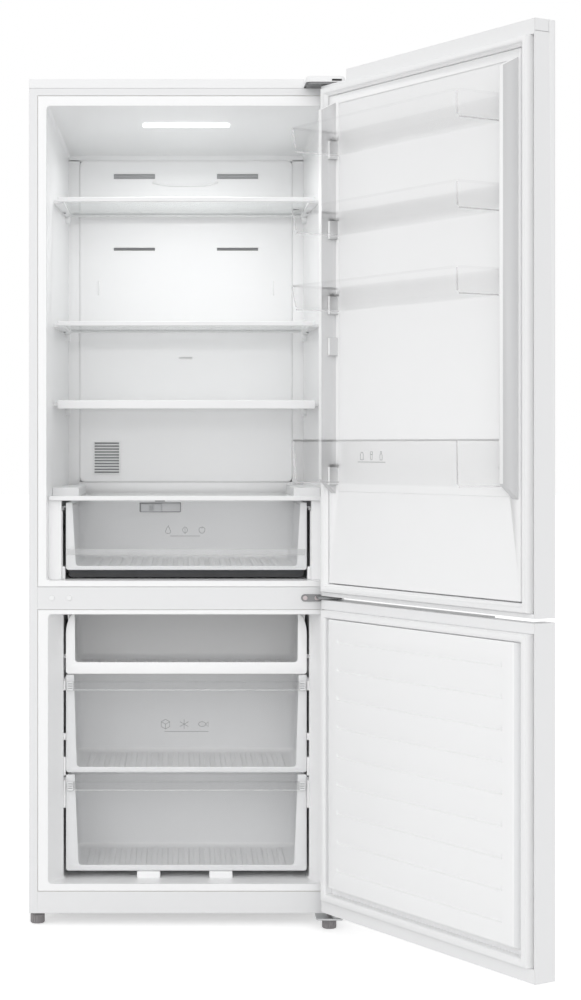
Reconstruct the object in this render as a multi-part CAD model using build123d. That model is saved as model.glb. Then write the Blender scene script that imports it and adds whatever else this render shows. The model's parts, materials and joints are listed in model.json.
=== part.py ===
from build123d import *
import math
import os

os.makedirs("parts", exist_ok=True)

# A bottom freezer refrigerator, standing open. Millimetres.
# X runs to the right along the cabinet's front, Y to the back, Z up from the floor.
# It is drawn about the middle of the cabinet's front face, and written out with the left front foot's
# base at the origin.

# ---- overall ----
cabinet_width = 700.0
cabinet_height = 1882.0
cabinet_depth = 595.0
door_open_angle = 121.5
floor_gap = 26.5            # floor to the cabinet's bottom edge
sheet = 1.0                 # outer steel sheets
liner_wall = 2.5            # thermoformed liners
fit_gap = 0.3               # between pieces that sit by each other
run_gap = 0.08              # between a pin and its bore

# ---- cabinet front ----
steel_rim = 19.0            # returned edge of the outer sheet
rim_step = 0.7              # how far the liners' rims lie behind the steel
rim_gap = 0.5               # and beside it
top_rail_drop = 21.0        # height of the plastic cap along the top edge
top_cap_depth = 70.0
steel_drop = 16.0           # height of the steel edge below that cap
bottom_rail = 48.5          # height of the steel rail below the freezer
beam_low = 702.0            # middle beam between the compartments
beam_height = 50.0
beam_depth = 22.0

# ---- refrigerator compartment ----
fridge_side = 39.0          # outer sheet to the opening, at the front
fridge_side_back = 64.0     # the same at the back: the walls close in
fridge_top = 60.0           # cabinet top to the opening
fridge_top_back = 107.0     # the same at the back: the ceiling slopes
fridge_sill = 14.0          # above the middle beam
fridge_back_wall = 95.0     # cabinet's back to the compartment
fridge_corner = 8.0
duct_side_gap = 24.0        # duct panel to the wall beside it
duct_depth = 45.0
duct_skin = 3.0

# ---- freezer compartment ----
freezer_side = 42.0         # outer sheet to the opening, at the front
freezer_side_in = 73.0      # and past the slanted mouth
freezer_mouth = 60.0        # depth of the slanted mouth
freezer_top = 11.0          # below the middle beam
freezer_sill = 17.0         # above the bottom rail
freezer_back_wall = 125.0
freezer_corner = 8.0
step_wall = 55.0            # around the machine room
rail_width = 5.0
rail_height = 6.0

# ---- machine room ----
room_depth = 195.0
room_top = 245.0
compressor_x = -170.0

# ---- doors ----
door_gap = 14.0             # cabinet front to the door's rim
door_thickness = 52.4
door_sheet = 0.8
door_floor_gap = 38.1
door_between_low = 726.5    # top of the freezer door
door_between_high = 735.4   # bottom of the refrigerator door
door_hem = 3.5
door_edge_radius = 3.0
seal_inset = 12.0           # door edge to the gasket
seal_width = 14.0
seal_face_gap = 1.0         # gasket to the cabinet's face when shut
seal_seat = 8.0             # gasket's seat below the rim
upper_cap_high = 30.0
upper_cap_low = 8.6
lower_cap_high = 20.5
lower_cap_low = 28.0
panel_inset = 34.0          # door edge to the raised field of its liner
upper_panel_rise = 4.0      # raised field above the rim
lower_panel_rise = 15.0
freezer_panel_inset = 34.0
freezer_panel_lean = 18.0
dyke_outer = 43.0           # cabinet side to the door ridge's outer foot
dyke_width = 17.5
dyke_height = 40.0
dyke_draft = 3.0
dyke_rise = 20.0            # how far the ridge's upper end leans
dyke_toe = 34.0             # how far its lower end leans
hinge_inset = 20.0          # hinge axis from the cabinet's side
pin_radius = 5.0
pin_grip = 22.0             # length of pin in its bore
hinge_plate = 4.0
hinge_cover_height = 14.0
grip_length = 150.0
grip_height = 26.0
grip_depth = 30.0
grip_wall = 2.5
grip_lip = 8.0              # how far the front edge is cut back at the grip
grip_inset = 30.0           # free edge to the grip
notch_width = 93.0          # step in the door's top over the hinge
notch_depth = 23.0

# ---- door bins ----
bin_end_gap = 9.5           # bin's rim to the ridge beside it
bin_lean = 5.5
bin_front_top = 121.0
bin_front_low = 115.0
bin_wall = 2.2
bin_back_gap = 2.0
bin_levels = (0.858, 0.655, 0.464, 0.032)   # along the ridge, bottom of each bin
bin_heights = (53.0, 53.0, 53.0, 93.0)
spare_lug_level = 0.3595
lug_drop = 5.0
lug_height = 39.0
lug_depth = 21.0
lug_reach = 7.0
hanger = 6.0

# ---- shelves ----
shelf_levels = (0.782, 0.455, 0.247)        # of the clear height over the crisper
shelf_front = 125.0
shelf_back_gap = 15.0       # shelf to the duct panel
glass = 4.0
shelf_trim_front_gap = 10.3 # front trim's end to the wall
shelf_trim_back_gap = 9.0
shelf_trim = 10.8
thick_trim = 20.0           # the lowest shelf's front trim
trim_depth = 9.0
ledge_height = 7.0
ledge_grip = 4.0            # how far the glass lies on its ledge

# ---- crisper ----
crisper_cover_height = 188.0    # sill to the top of the crisper's cover
cover_front = 20.0
cover_end_gap = 4.0
cover_trim = 10.4
cover_frame = 4.4
shoulder_width = 66.0       # beside the crisper's glass, at the front wall's line
shoulder_front = 110.0
shoulder_rise = 17.0
guide_width = 31.0
guide_front = 35.0
crisper_side_gap = 9.0
crisper_front = 40.0
crisper_back_gap = 15.0
crisper_low = 21.0              # above the sill
crisper_head = 4.5              # under the cover's frame
drawer_wall = 2.5
front_panel = 4.0
drawer_rib = 1.5
drawer_rib_pitch = 25.0
slider_width = 93.0
slider_left = -105.0
slider_height = 20.0
slider_travel = 40.0

# ---- freezer drawers ----
drawer_side_gap = 5.4
drawer_front = 62.0
drawer_back_gap = 28.0          # drawer to the freezer's duct panel
low_drawer_back_gap = 15.0      # lowest drawer to the compressor step
drawer_corner = 20.0
drawer_draft = 7.0
tray_bar = 26.5                 # height of the top tray's bar
low_drawer_floor = 15.0         # above the freezer's floor
low_drawer_height = 218.0
middle_drawer_gap = 4.0         # above the lowest drawer
tray_height = 134.5
tray_gap = 1.0                  # above the middle drawer
tray_head = 5.0                 # tray to the freezer's ceiling
drawer_lip = 10.0
flange_drop = (10.0, 11.0, 94.0)    # top of each drawer to its side flange
flange = 3.0

# ---- cold air ----
vent_slots = ((76.0, 177.0, 34.0, 12.0), (76.0, 177.0, 215.0, 7.0))   # x, x, below duct top, height
vent_corner = 0.8
grille_left = -228.0
grille_width = 68.0
grille_height = 82.0
grille_low = 42.0               # above the crisper's cover
grille_slats = 11
lamp_length = 208.0
lamp_depth = 31.0
lamp_thickness = 3.4
lamp_back = 167.0
evaporator_side_gap = 47.0
evaporator_depth = 52.0
evaporator_back_gap = 26.0
evaporator_low_gap = 22.0
evaporator_head = 28.0          # below the fan
evaporator_fins = 22
panel_gap = 14.0                # duct panel to the evaporator
fan_drop = 71.0                 # freezer's ceiling to the fan's shaft
fan_radius = 50.0
fan_blades = 5
fan_shaft = 2.0

# ---- feet ----
foot_radius = 16.0
foot_height = 20.0
foot_stem = 5.0
left_foot_in = 17.0             # from the cabinet's side
left_foot_y = 30.0
right_foot_out = 34.0           # from the cabinet's side
right_foot_y = -21.0
roller_radius = 12.5
roller_width = 12.0
roller_inset = 50.0
roller_back = 55.0              # from the cabinet's back

# ---- worked out from those ----
half = cabinet_width / 2
fridge_depth = cabinet_depth - fridge_back_wall
freezer_depth = cabinet_depth - freezer_back_wall
room_front = cabinet_depth - room_depth
step_front = room_front - step_wall
step_top = room_top + step_wall
roller_y = cabinet_depth - roller_back
left_foot_x = left_foot_in - half
beam_high = beam_low + beam_height
rail_top = floor_gap + bottom_rail
top_face = cabinet_height - top_rail_drop
fridge_floor = beam_high + fridge_sill
fridge_ceiling = cabinet_height - fridge_top
fridge_ceiling_back = cabinet_height - fridge_top_back
freezer_floor = rail_top + freezer_sill
freezer_ceiling = beam_low - freezer_top
cover_top = fridge_floor + crisper_cover_height
cover_low = cover_top - cover_trim
rim_y = -door_gap
skin_y = -door_gap - door_thickness
hinge_x = half - hinge_inset
hinge_y = rim_y - door_thickness / 2
door_top = cabinet_height - 0.2
duct_half_width = half - fridge_side_back - duct_side_gap
shelf_back = fridge_depth - duct_depth - shelf_back_gap
ledge_inner = half - fridge_side_back - shelf_trim_back_gap + ledge_grip
cover_half = half - fridge_side - cover_end_gap
shoulder_half = half - fridge_side - shoulder_width
guide_half = half - fridge_side - guide_width
crisper_half = guide_half - crisper_side_gap
crisper_back = shelf_back - crisper_back_gap
drawer_half = half - freezer_side_in - drawer_side_gap
evaporator_front = freezer_depth - evaporator_back_gap - evaporator_depth
freezer_panel_y = evaporator_front - panel_gap
drawer_back = freezer_panel_y - drawer_back_gap
low_drawer_back = step_front - low_drawer_back_gap
tray_floor = freezer_ceiling - tray_head - tray_height
middle_drawer_floor = freezer_floor + low_drawer_floor + low_drawer_height + middle_drawer_gap
drawer_levels = (freezer_floor + low_drawer_floor, middle_drawer_floor, tray_floor)
drawer_heights = (low_drawer_height, tray_floor - tray_gap - middle_drawer_floor, tray_height)
fan_height = freezer_ceiling - fan_drop
seat_y = rim_y - seal_seat
to_foot = Pos(-left_foot_x, -left_foot_y, 0)
open_pose = Pos(hinge_x, hinge_y, 0) * Rot(0, 0, door_open_angle) * Pos(-hinge_x, -hinge_y, 0)


# ---- shapes that repeat ----
def block(x0, x1, y0, y1, z0, z1):
    """Box between two corners."""
    return Pos((x0 + x1) / 2, (y0 + y1) / 2, (z0 + z1) / 2) * Box(x1 - x0, y1 - y0, z1 - z0)


def post(x, y, z0, z1, radius):
    """Upright round bar."""
    return Pos(x, y, (z0 + z1) / 2) * Cylinder(radius, z1 - z0)


def rod_y(x, z, y0, y1, radius):
    """Round bar along Y."""
    return Pos(x, (y0 + y1) / 2, z) * Rot(90, 0, 0) * Cylinder(radius, y1 - y0)


def rod_x(y, z, x0, x1, radius):
    """Round bar along X."""
    return Pos((x0 + x1) / 2, y, z) * Rot(0, 90, 0) * Cylinder(radius, x1 - x0)


def standing(y, half_width, z0, z1, radius):
    """Rounded rectangle across the cabinet at depth y."""
    outline = Pos(0, (z0 + z1) / 2) * RectangleRounded(2 * half_width, z1 - z0, radius)
    return (Plane.XZ.offset(-y) * outline).face()


def lying(z, x0, x1, y0, y1, radius):
    """Rounded rectangle at height z."""
    outline = Pos((x0 + x1) / 2, (y0 + y1) / 2) * RectangleRounded(x1 - x0, y1 - y0, radius)
    return (Plane.XY.offset(z) * outline).face()


def plate(x0, x1, y0, y1, z0, z1, radius):
    """Plate across the cabinet with rounded corners."""
    outline = Pos((x0 + x1) / 2, (z0 + z1) / 2) * RectangleRounded(x1 - x0, z1 - z0, radius)
    return extrude(Plane.XZ.offset(-y0) * outline, amount=-(y1 - y0))


def slab(x0, x1, y0, y1, z0, z1, radius):
    """Level plate with rounded corners."""
    return extrude(lying(z0, x0, x1, y0, y1, radius), amount=z1 - z0)


def tub(half_low, half_high, y0, y1, z0, z1, wall, radius):
    """Open tub whose sides lean out upwards."""
    lean = half_high - half_low
    outer = loft([
        lying(z0, -half_low, half_low, y0 + lean, y1 - lean, radius),
        lying(z1, -half_high, half_high, y0, y1, radius),
    ])
    inner = loft([
        lying(z0 + wall, wall - half_low, half_low - wall, y0 + lean + wall, y1 - lean - wall, radius - wall),
        lying(z1 + 1, wall - half_high, half_high - wall, y0 + wall, y1 - wall, radius - wall),
    ])
    return outer - inner


def floor_ribs(half_width, y0, y1, z):
    """Low ribs along a drawer's floor."""
    count = int(2 * (half_width - drawer_rib_pitch) // drawer_rib_pitch)
    start = -(count - 1) * drawer_rib_pitch / 2
    ribs = []
    for i in range(count):
        x = start + i * drawer_rib_pitch
        ribs.append(block(x - drawer_rib_pitch / 5, x + drawer_rib_pitch / 5, y0, y1, z - 1, z + drawer_rib))
    return ribs


def both_sides(shape):
    """A shape and its mirror image across the cabinet."""
    return [shape, mirror(shape, about=Plane.YZ)]


def write(name, shape, *more):
    """One STEP file: a single piece, or a group of separate ones."""
    pieces = [to_foot * shape] + [to_foot * other for other in more]
    solids = [solid for piece in pieces for solid in piece.solids()]
    export_step(solids[0] if len(solids) == 1 else Compound(solids), f"parts/{name}.step")


# ---- compartments ----
def fridge_half(y):
    """Half width of the refrigerator compartment at depth y."""
    return half - fridge_side - (fridge_side_back - fridge_side) * y / fridge_depth


def fridge_cavity(grow, y_front):
    """The refrigerator compartment, grown outwards all round."""
    def side(y):
        return fridge_half(y) + grow

    def ceiling(y):
        return fridge_ceiling - (fridge_ceiling - fridge_ceiling_back) * y / fridge_depth + grow

    back = fridge_depth + grow
    low = fridge_floor - grow
    radius = fridge_corner + grow
    return loft([
        standing(y_front, side(y_front), low, ceiling(y_front), radius),
        standing(back, side(back), low, ceiling(back), radius),
    ], ruled=True)


def freezer_cavity(grow, y_front):
    """The freezer compartment, with its slanted mouth and the step over the machine room."""
    def side(y):
        return half - freezer_side - (freezer_side_in - freezer_side) * y / freezer_mouth + grow

    low = freezer_floor - grow
    high = freezer_ceiling + grow
    radius = freezer_corner + grow
    mouth = loft([
        standing(y_front, side(y_front), low, high, radius),
        standing(freezer_mouth, side(freezer_mouth), low, high, radius),
    ], ruled=True)
    back = freezer_depth + grow
    room = extrude(standing(freezer_mouth, side(freezer_mouth), low, high, radius), amount=freezer_mouth - back)
    step = block(-half, half, step_front + grow, back + 1, 0, step_top - grow)
    return mouth + room - step


flange_half = half - steel_rim
rim_half = flange_half - rim_gap
freezer_wall = half - freezer_side_in


def make_fridge_liner():
    rim = block(-rim_half, rim_half, rim_step, rim_step + liner_wall, beam_high + rim_gap, top_face - steel_drop - rim_gap)
    return fridge_cavity(liner_wall, rim_step) + rim - fridge_cavity(0, -1)


def drawer_flange(i):
    """Height of the underside of a drawer's side flange."""
    return drawer_levels[i] + drawer_heights[i] - flange_drop[i]


def make_freezer_liner():
    rim = block(-rim_half, rim_half, rim_step, rim_step + liner_wall, rail_top + rim_gap, beam_low - rim_gap)
    liner = freezer_cavity(liner_wall, rim_step) + rim - freezer_cavity(0, -1)
    for i in range(len(drawer_levels)):
        top = drawer_flange(i)
        rail = block(freezer_wall - rail_width, freezer_wall + 1, freezer_mouth + 12, step_front - 8,
                     top - rail_height, top)
        for side in both_sides(rail):
            liner += side
    rest_height = drawer_levels[0] - freezer_floor
    for x in (-85.0, 78.0):
        liner += block(x - 26, x + 26, freezer_mouth, step_front - 20, freezer_floor - 1,
                       freezer_floor + rest_height)
    return liner


# ---- cabinet ----
def make_outer_wrap():
    side = block(half - sheet, half, 0, cabinet_depth - sheet, floor_gap, top_face)
    side += block(half - sheet, half, top_cap_depth, cabinet_depth - sheet, top_face, cabinet_height - 2)
    side += block(flange_half, half, 0, sheet, floor_gap, top_face)
    ledge = block(-half, half, 0, top_cap_depth + sheet, top_face - sheet, top_face)
    riser = block(-half, half, top_cap_depth, top_cap_depth + sheet, top_face, cabinet_height - 2)
    top = block(-half, half, top_cap_depth, cabinet_depth - sheet, cabinet_height - 2 - sheet, cabinet_height - 2)
    lip = block(-flange_half, flange_half, 0, sheet, top_face - steel_drop, top_face)
    wrap = ledge + riser + top + lip
    for piece in both_sides(side):
        wrap += piece
    return wrap


def make_base_plate():
    inner = half - sheet - fit_gap
    front = block(-flange_half, flange_half, 0, sheet, floor_gap, rail_top)
    floor = block(-inner, inner, sheet + fit_gap, cabinet_depth - sheet - fit_gap, floor_gap, floor_gap + 1.5)
    floor += block(-flange_half, flange_half, 0, 5, floor_gap, floor_gap + 1.5)
    riser = block(-inner, inner, room_front, room_front + 1.5, floor_gap, room_top)
    roof = block(-inner, inner, room_front, cabinet_depth - sheet - fit_gap, room_top - 1.5, room_top)
    boss = post(left_foot_x, left_foot_y, floor_gap, floor_gap + 20, foot_stem + 5)
    base = front + floor + riser + roof + boss
    return base - post(left_foot_x, left_foot_y, 0, floor_gap + 30, foot_stem + run_gap)


def make_foam():
    """Foamed insulation between the outer sheets and the liners."""
    inner = half - sheet - fit_gap
    front = rim_step + liner_wall + fit_gap
    body = block(-inner, inner, front, cabinet_depth - sheet - fit_gap, floor_gap + 1.5 + fit_gap,
                 cabinet_height - 2 - sheet - fit_gap)
    body -= block(-half, half, 0, top_cap_depth + sheet + fit_gap, top_face - sheet - fit_gap, cabinet_height)
    body -= block(-half, half, room_front - fit_gap, cabinet_depth, 0, room_top + fit_gap)
    body -= block(-half, half, 0, beam_depth + fit_gap, beam_low - fit_gap, beam_high + fit_gap)
    body -= post(left_foot_x, left_foot_y, 0, floor_gap + 24, foot_stem + 6)
    body -= fridge_cavity(liner_wall + fit_gap, -1)
    body -= freezer_cavity(liner_wall + fit_gap, -1)
    return body


def beam_screw_places():
    """Screws of the middle hinge, and the covered holes for a left-hand hinge."""
    return [half - 86, half - 60], [51 - half, 89 - half]


beam_screw_z = beam_low + 26.0
screw_radius = 2.4


def make_center_beam():
    beam = block(-flange_half, flange_half, 0, beam_depth, beam_low, beam_high)
    beam -= block(10 - flange_half, flange_half - 10, beam_depth - 8, beam_depth + 1, beam_low + 8, beam_high - 8)
    for group in beam_screw_places():
        for x in group:
            beam -= rod_y(x, beam_screw_z, -1, 12, screw_radius + fit_gap)
    return beam


def make_top_cap():
    """Plastic cap along the top front edge, cut back where the hinge sits."""
    low = top_face + fit_gap
    cap = block(-half, half, 0, top_cap_depth - fit_gap, low, cabinet_height)
    cap = fillet(cap.edges().filter_by(Axis.X).group_by(Axis.Z)[-1].sort_by(Axis.Y)[0], 2.5)
    cap -= block(3 - half, half - 3, 3, top_cap_depth - 3, low - 1, cabinet_height - 3)
    return cap - block(half - 88, half + 1, -1, top_cap_depth, low - 1, cabinet_height + 1)


duct_top = fridge_ceiling_back - 8
duct_front = fridge_depth - duct_depth
duct_low = cover_top + 22


def make_air_duct_panel():
    panel = plate(-duct_half_width, duct_half_width, duct_front, fridge_depth - fit_gap, duct_low, duct_top, 16)
    panel = fillet(panel.faces().sort_by(Axis.Y)[0].edges(), 5)
    panel -= plate(duct_skin - duct_half_width, duct_half_width - duct_skin, duct_front + duct_skin, fridge_depth + 1,
                   duct_low + duct_skin, duct_top - duct_skin, 12)
    for x0, x1, drop, height in vent_slots:
        z1 = duct_top - drop
        for low, high in ((x0, x1), (-x1, -x0)):
            panel -= plate(low, high, duct_front - 1, duct_front + duct_skin + 1, z1 - height, z1, vent_corner)
    z0 = cover_top + grille_low
    panel -= block(grille_left + 2, grille_left + grille_width - 2, duct_front - 1, duct_front + duct_skin + 1,
                   z0 + 2, z0 + grille_height - 2)
    probe_z = (duct_low + duct_top) / 2 - 90
    panel -= plate(-17, 16, duct_front - 1, duct_front + duct_skin + 1, probe_z - 2, probe_z + 2, 1.9)
    return panel


def make_return_grille():
    z0 = cover_top + grille_low
    grille = plate(grille_left, grille_left + grille_width, duct_front - 2, duct_front - fit_gap / 3,
                   z0, z0 + grille_height, 3)
    pitch = (grille_height - 4) / grille_slats
    for i in range(grille_slats):
        z = z0 + 2 + pitch * (i + 0.5)
        grille -= block(grille_left + 4, grille_left + grille_width - 4, duct_front - 3, duct_front + 1,
                        z - pitch * 0.27, z + pitch * 0.27)
    return grille


def make_lamp_lens():
    slope = math.degrees(math.atan((fridge_ceiling - fridge_ceiling_back) / fridge_depth))
    z = fridge_ceiling - (fridge_ceiling - fridge_ceiling_back) * lamp_back / fridge_depth
    lens = Box(lamp_length, lamp_depth, lamp_thickness)
    lens = fillet(lens.edges().filter_by(Axis.Z), 3)
    lens = fillet(lens.faces().sort_by(Axis.Z)[0].edges(), 1.2)
    return Pos(0, lamp_back, z) * Rot(-slope, 0, 0) * Pos(0, 0, -lamp_thickness / 2 - fit_gap) * lens


# ---- shelves ----
clear_height = fridge_ceiling - cover_top


def shelf_z(i):
    """Top of a shelf's glass."""
    return cover_top + clear_height * shelf_levels[i]


def make_shelf_supports():
    """Ledges on both walls under every shelf."""
    room = fridge_cavity(0, 10)
    ledges = []
    for i in range(len(shelf_levels)):
        top = shelf_z(i) - glass
        ledge = block(ledge_inner, half, shelf_front + trim_depth + 6, shelf_back - 12, top - ledge_height, top)
        ledges += both_sides(ledge & room)
    return ledges


def glass_sheet(i, gap):
    """A shelf's glass, or the groove around it."""
    top = shelf_z(i)
    reach = ledge_inner + ledge_grip + gap
    return slab(-reach, reach, shelf_front + 4 - gap, shelf_back - 4 + gap, top - glass - gap, top + gap, 3)


def make_shelf_trims(i):
    """Front and rear trims, each with a groove for the glass."""
    top = shelf_z(i)
    front_height = thick_trim if i == 2 else shelf_trim
    front_half = fridge_half(shelf_front) - shelf_trim_front_gap
    back_half = fridge_half(shelf_back) - shelf_trim_back_gap
    front = block(-front_half, front_half, shelf_front, shelf_front + trim_depth, top + 2.5 - front_height, top + 2.5)
    front = fillet(front.edges().filter_by(Axis.X), 2.0)
    back = block(-back_half, back_half, shelf_back - trim_depth, shelf_back, top - glass - 3, top + 5)
    back = fillet(back.edges().filter_by(Axis.X), 1.8)
    groove = glass_sheet(i, 0.05)
    return front - groove, back - groove


def make_crisper_cover_frame():
    """White frame over the crisper, with raised shoulders beside the glass."""
    inner = half - fridge_side_back - 4
    front = block(-cover_half, cover_half, cover_front, cover_front + 12, cover_low, cover_top)
    front = fillet(front.edges().filter_by(Axis.X), 1.8)
    ring = block(-inner, inner, cover_front + 8, shelf_back, cover_low, cover_low + cover_frame)
    ring -= block(-shoulder_half + 14, shoulder_half - 14, cover_front + 26, shelf_back - 14, cover_low - 1,
                  cover_low + cover_frame + 1)
    frame = front + ring
    shoulder = block(shoulder_half, half, shoulder_front, shelf_back, cover_low, cover_top + shoulder_rise)
    shoulder &= fridge_cavity(-0.6, 10)
    for piece in both_sides(shoulder):
        frame += piece
    return frame - cover_glass_room(0.05)


def cover_glass_room(gap):
    low = cover_low + cover_frame
    return block(-shoulder_half + 1 - gap, shoulder_half - 1 + gap, cover_front + 10 - gap, shelf_back - 6 + gap,
                 low - gap, low + glass + gap)


def make_crisper_guides():
    """Side blocks that narrow the compartment to the drawer, with the rails it runs on."""
    top = cover_low - fit_gap
    body = block(guide_half, half, guide_front, shelf_back, fridge_floor, top)
    body &= fridge_cavity(0, 10)
    rail_top_z = crisper_flange_z()
    body += block(guide_half - rail_width, guide_half + 2, guide_front + 25, shelf_back - 20,
                  rail_top_z - rail_height, rail_top_z)
    return both_sides(body)


crisper_z0 = fridge_floor + crisper_low
crisper_z1 = cover_low - crisper_head


def crisper_flange_z():
    """Underside of the crisper's side flange."""
    return crisper_z1 - 12


def side_flanges(half_width, reach, y0, y1, z):
    """Flanges by which a drawer hangs on its rails."""
    return both_sides(block(half_width - 6, reach, y0, y1, z, z + flange))


def make_crisper_drawer():
    body = tub(crisper_half - 12, crisper_half - 5, crisper_front - 15, crisper_back, crisper_z0 + 2, crisper_z1,
               drawer_wall, drawer_corner)
    body -= block(-half, half, 0, crisper_front + front_panel - 1, 0, cabinet_height)
    for rib in floor_ribs(crisper_half - 40, crisper_front + front_panel - 1, crisper_back - 30,
                          crisper_z0 + 2 + drawer_wall):
        body += rib
    panel = plate(-crisper_half, crisper_half, crisper_front, crisper_front + front_panel, crisper_z0, crisper_z1, 6)
    body += panel
    for piece in side_flanges(crisper_half - 5, guide_half - fit_gap, guide_front + 24, crisper_back - 20,
                              crisper_flange_z()):
        body += piece & block(-half, half, 0, crisper_back, 0, cabinet_height)
    body += plate(slider_left, slider_left + slider_width, crisper_front - 4, crisper_front + front_panel,
                  crisper_z1 - slider_height - 2, crisper_z1, 2)
    return body - block(slider_left + 3, slider_left + slider_width - 3, crisper_front - 5, crisper_front + 1,
                        crisper_z1 - slider_height + 1, crisper_z1 - 3)


def make_humidity_slider():
    width = slider_width - 6 - slider_travel - 2 * fit_gap
    x0 = slider_left + 3 + fit_gap
    z0 = crisper_z1 - slider_height + 1 + fit_gap
    z1 = crisper_z1 - 3 - fit_gap
    knob = block(x0, x0 + width, crisper_front - 4, crisper_front + 1 - fit_gap, z0, z1)
    grip = block(x0 + width / 2 - 3, x0 + width / 2 + 3, crisper_front - 7, crisper_front - 3, z0 + 2, z1 - 2)
    return knob + grip


# ---- freezer drawers ----
def make_drawer_body(i):
    """White tub of a freezer drawer, open where its clear front stands."""
    back = low_drawer_back if i == 0 else drawer_back
    z0 = drawer_levels[i] + fit_gap
    z1 = drawer_levels[i] + drawer_heights[i]
    body = tub(drawer_half - 4 - drawer_draft, drawer_half - 4, drawer_front - 25, back, z0, z1, drawer_wall,
               drawer_corner)
    cut = drawer_front + (front_panel if i < 2 else 0)
    body -= block(-half, half, 0, cut, 0, cabinet_height)
    for rib in floor_ribs(drawer_half - 30, cut, back - 30, z0 + drawer_wall):
        body += rib
    top = drawer_flange(i)
    for piece in side_flanges(drawer_half - 4, freezer_wall - fit_gap, freezer_mouth + 12, back - 14, top):
        body += piece
    if i == 2:
        body += block(-drawer_half, drawer_half, drawer_front, drawer_front + drawer_wall + 1, z0, z0 + tray_bar)
        arch = Plane.YZ * Pos(drawer_front - 1, z1 + 1) * make_arch(58, 50)
        body -= extrude(arch, amount=half, both=True)
    return body


def make_arch(reach, drop):
    """Area left outside a rounded corner, for cutting the tray's front top corners."""
    square = Pos(reach / 2, -drop / 2) * Rectangle(reach, drop)
    return square - Pos(reach, -drop) * Ellipse(reach, drop)


def make_drawer_front(i):
    """Clear front panel with a pull lip along its top."""
    z0 = drawer_levels[i]
    z1 = z0 + drawer_heights[i]
    y1 = drawer_front + front_panel - fit_gap / 3
    front = plate(-drawer_half, drawer_half, drawer_front, y1, z0, z1, 6)
    lip = block(16 - drawer_half, drawer_half - 16, drawer_front - drawer_lip, drawer_front + 1, z1 - 17, z1 - 14)
    tip = block(16 - drawer_half, drawer_half - 16, drawer_front - drawer_lip, drawer_front - drawer_lip + 2.5,
                z1 - 22, z1 - 14)
    return front + lip + tip


# ---- freezer's cold side ----
def make_freezer_duct_panel():
    y0 = freezer_panel_y
    panel = block(-freezer_wall + fit_gap, freezer_wall - fit_gap, y0, y0 + 3, step_top + fit_gap,
                  freezer_ceiling - fit_gap)
    panel = fillet(panel.edges().filter_by(Axis.Y), freezer_corner)
    for row in range(3):
        z = step_top + (freezer_ceiling - step_top) * (row + 0.5) / 3
        for x in (-150.0, 0.0, 150.0):
            panel -= plate(x - 45, x + 45, y0 - 1, y0 + 4, z - 5, z + 5, 4.9)
    return panel


evaporator_half = freezer_wall - evaporator_side_gap
evaporator_low = step_top + evaporator_low_gap
evaporator_high = fan_height - fan_radius - evaporator_head


def make_evaporator():
    """Finned block with its hanger legs."""
    y1 = evaporator_front + evaporator_depth
    body = block(-evaporator_half, evaporator_half, evaporator_front, y1, evaporator_low, evaporator_high)
    pitch = 2 * evaporator_half / evaporator_fins
    for i in range(evaporator_fins):
        x = -evaporator_half + pitch * (i + 0.5)
        body -= block(x - pitch * 0.38, x + pitch * 0.38, evaporator_front - 1, y1 - evaporator_depth * 0.55,
                      evaporator_low - 1, evaporator_high + 1)
    for x in (-evaporator_half + 20, evaporator_half - 20):
        body += block(x - 8, x + 8, y1 - 8, freezer_depth - fit_gap, evaporator_low + 40, evaporator_low + 70)
        body += block(x - 8, x + 8, y1 - 8, y1, step_top + fit_gap, evaporator_low + 5)
    return body


fan_front = evaporator_front + 4


def make_fan_rotor():
    hub = rod_y(0, fan_height, fan_front, fan_front + 20, 16)
    rotor = hub
    for i in range(fan_blades):
        blade = Pos(0, fan_front + 10, fan_height) * Rot(0, i * 360 / fan_blades, 0) * Pos(0, 0, 31)
        rotor += blade * Rot(0, 0, 32) * Box(22, 2, fan_radius - 15)
    return rotor - rod_y(0, fan_height, fan_front + 4, fan_front + 21, fan_shaft + run_gap)


def make_fan_motor():
    """Motor on a bracket at the freezer's back wall, with the shaft that carries the rotor."""
    motor = rod_y(0, fan_height, fan_front + 22, fan_front + 44, 24)
    motor += rod_y(0, fan_height, fan_front + 4.5, fan_front + 23, fan_shaft)
    for x in (-40.0, 40.0):
        motor += block(min(0, x), max(0, x), fan_front + 38, fan_front + 42, fan_height - 8, fan_height + 8)
        motor += block(x - 4, x + 4, fan_front + 38, freezer_depth - fit_gap, fan_height - 8, fan_height + 8)
    return motor


# ---- machine room ----
compressor_y = room_front + 105


def make_compressor():
    """Sealed shell on a foot plate with four rubber bushes."""
    plate_z = floor_gap + 1.5 + 12
    shell = post(compressor_x, compressor_y, plate_z + 2, plate_z + 105, 62)
    shell = fillet(shell.edges().filter_by(GeomType.CIRCLE), 22)
    body = shell + slab(compressor_x - 95, compressor_x + 95, compressor_y - 68, compressor_y + 68, plate_z,
                        plate_z + 4, 10)
    body += block(compressor_x - 25, compressor_x + 25, compressor_y - 20, compressor_y + 20, plate_z + 2, plate_z + 12)
    for dx in (-80.0, 80.0):
        for dy in (-50.0, 50.0):
            body += post(compressor_x + dx, compressor_y + dy, floor_gap + 1.5 + fit_gap / 3, plate_z + 1, 10)
    return body + rod_x(compressor_y, plate_z + 60, compressor_x + 55, compressor_x + 85, 5)


def make_drip_tray():
    """Melt water pan over the compressor, hung from the room's roof."""
    low = room_top - 52
    pan = slab(compressor_x - 90, compressor_x + 90, compressor_y - 60, compressor_y + 60, low, low + 40, 14)
    pan -= slab(compressor_x - 88, compressor_x + 88, compressor_y - 58, compressor_y + 58, low + 2, low + 41, 12)
    for x in (compressor_x - 92, compressor_x + 89):
        pan += block(x, x + 3, compressor_y - 15, compressor_y + 15, low + 20, room_top - 1.5 - fit_gap)
    return pan


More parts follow.
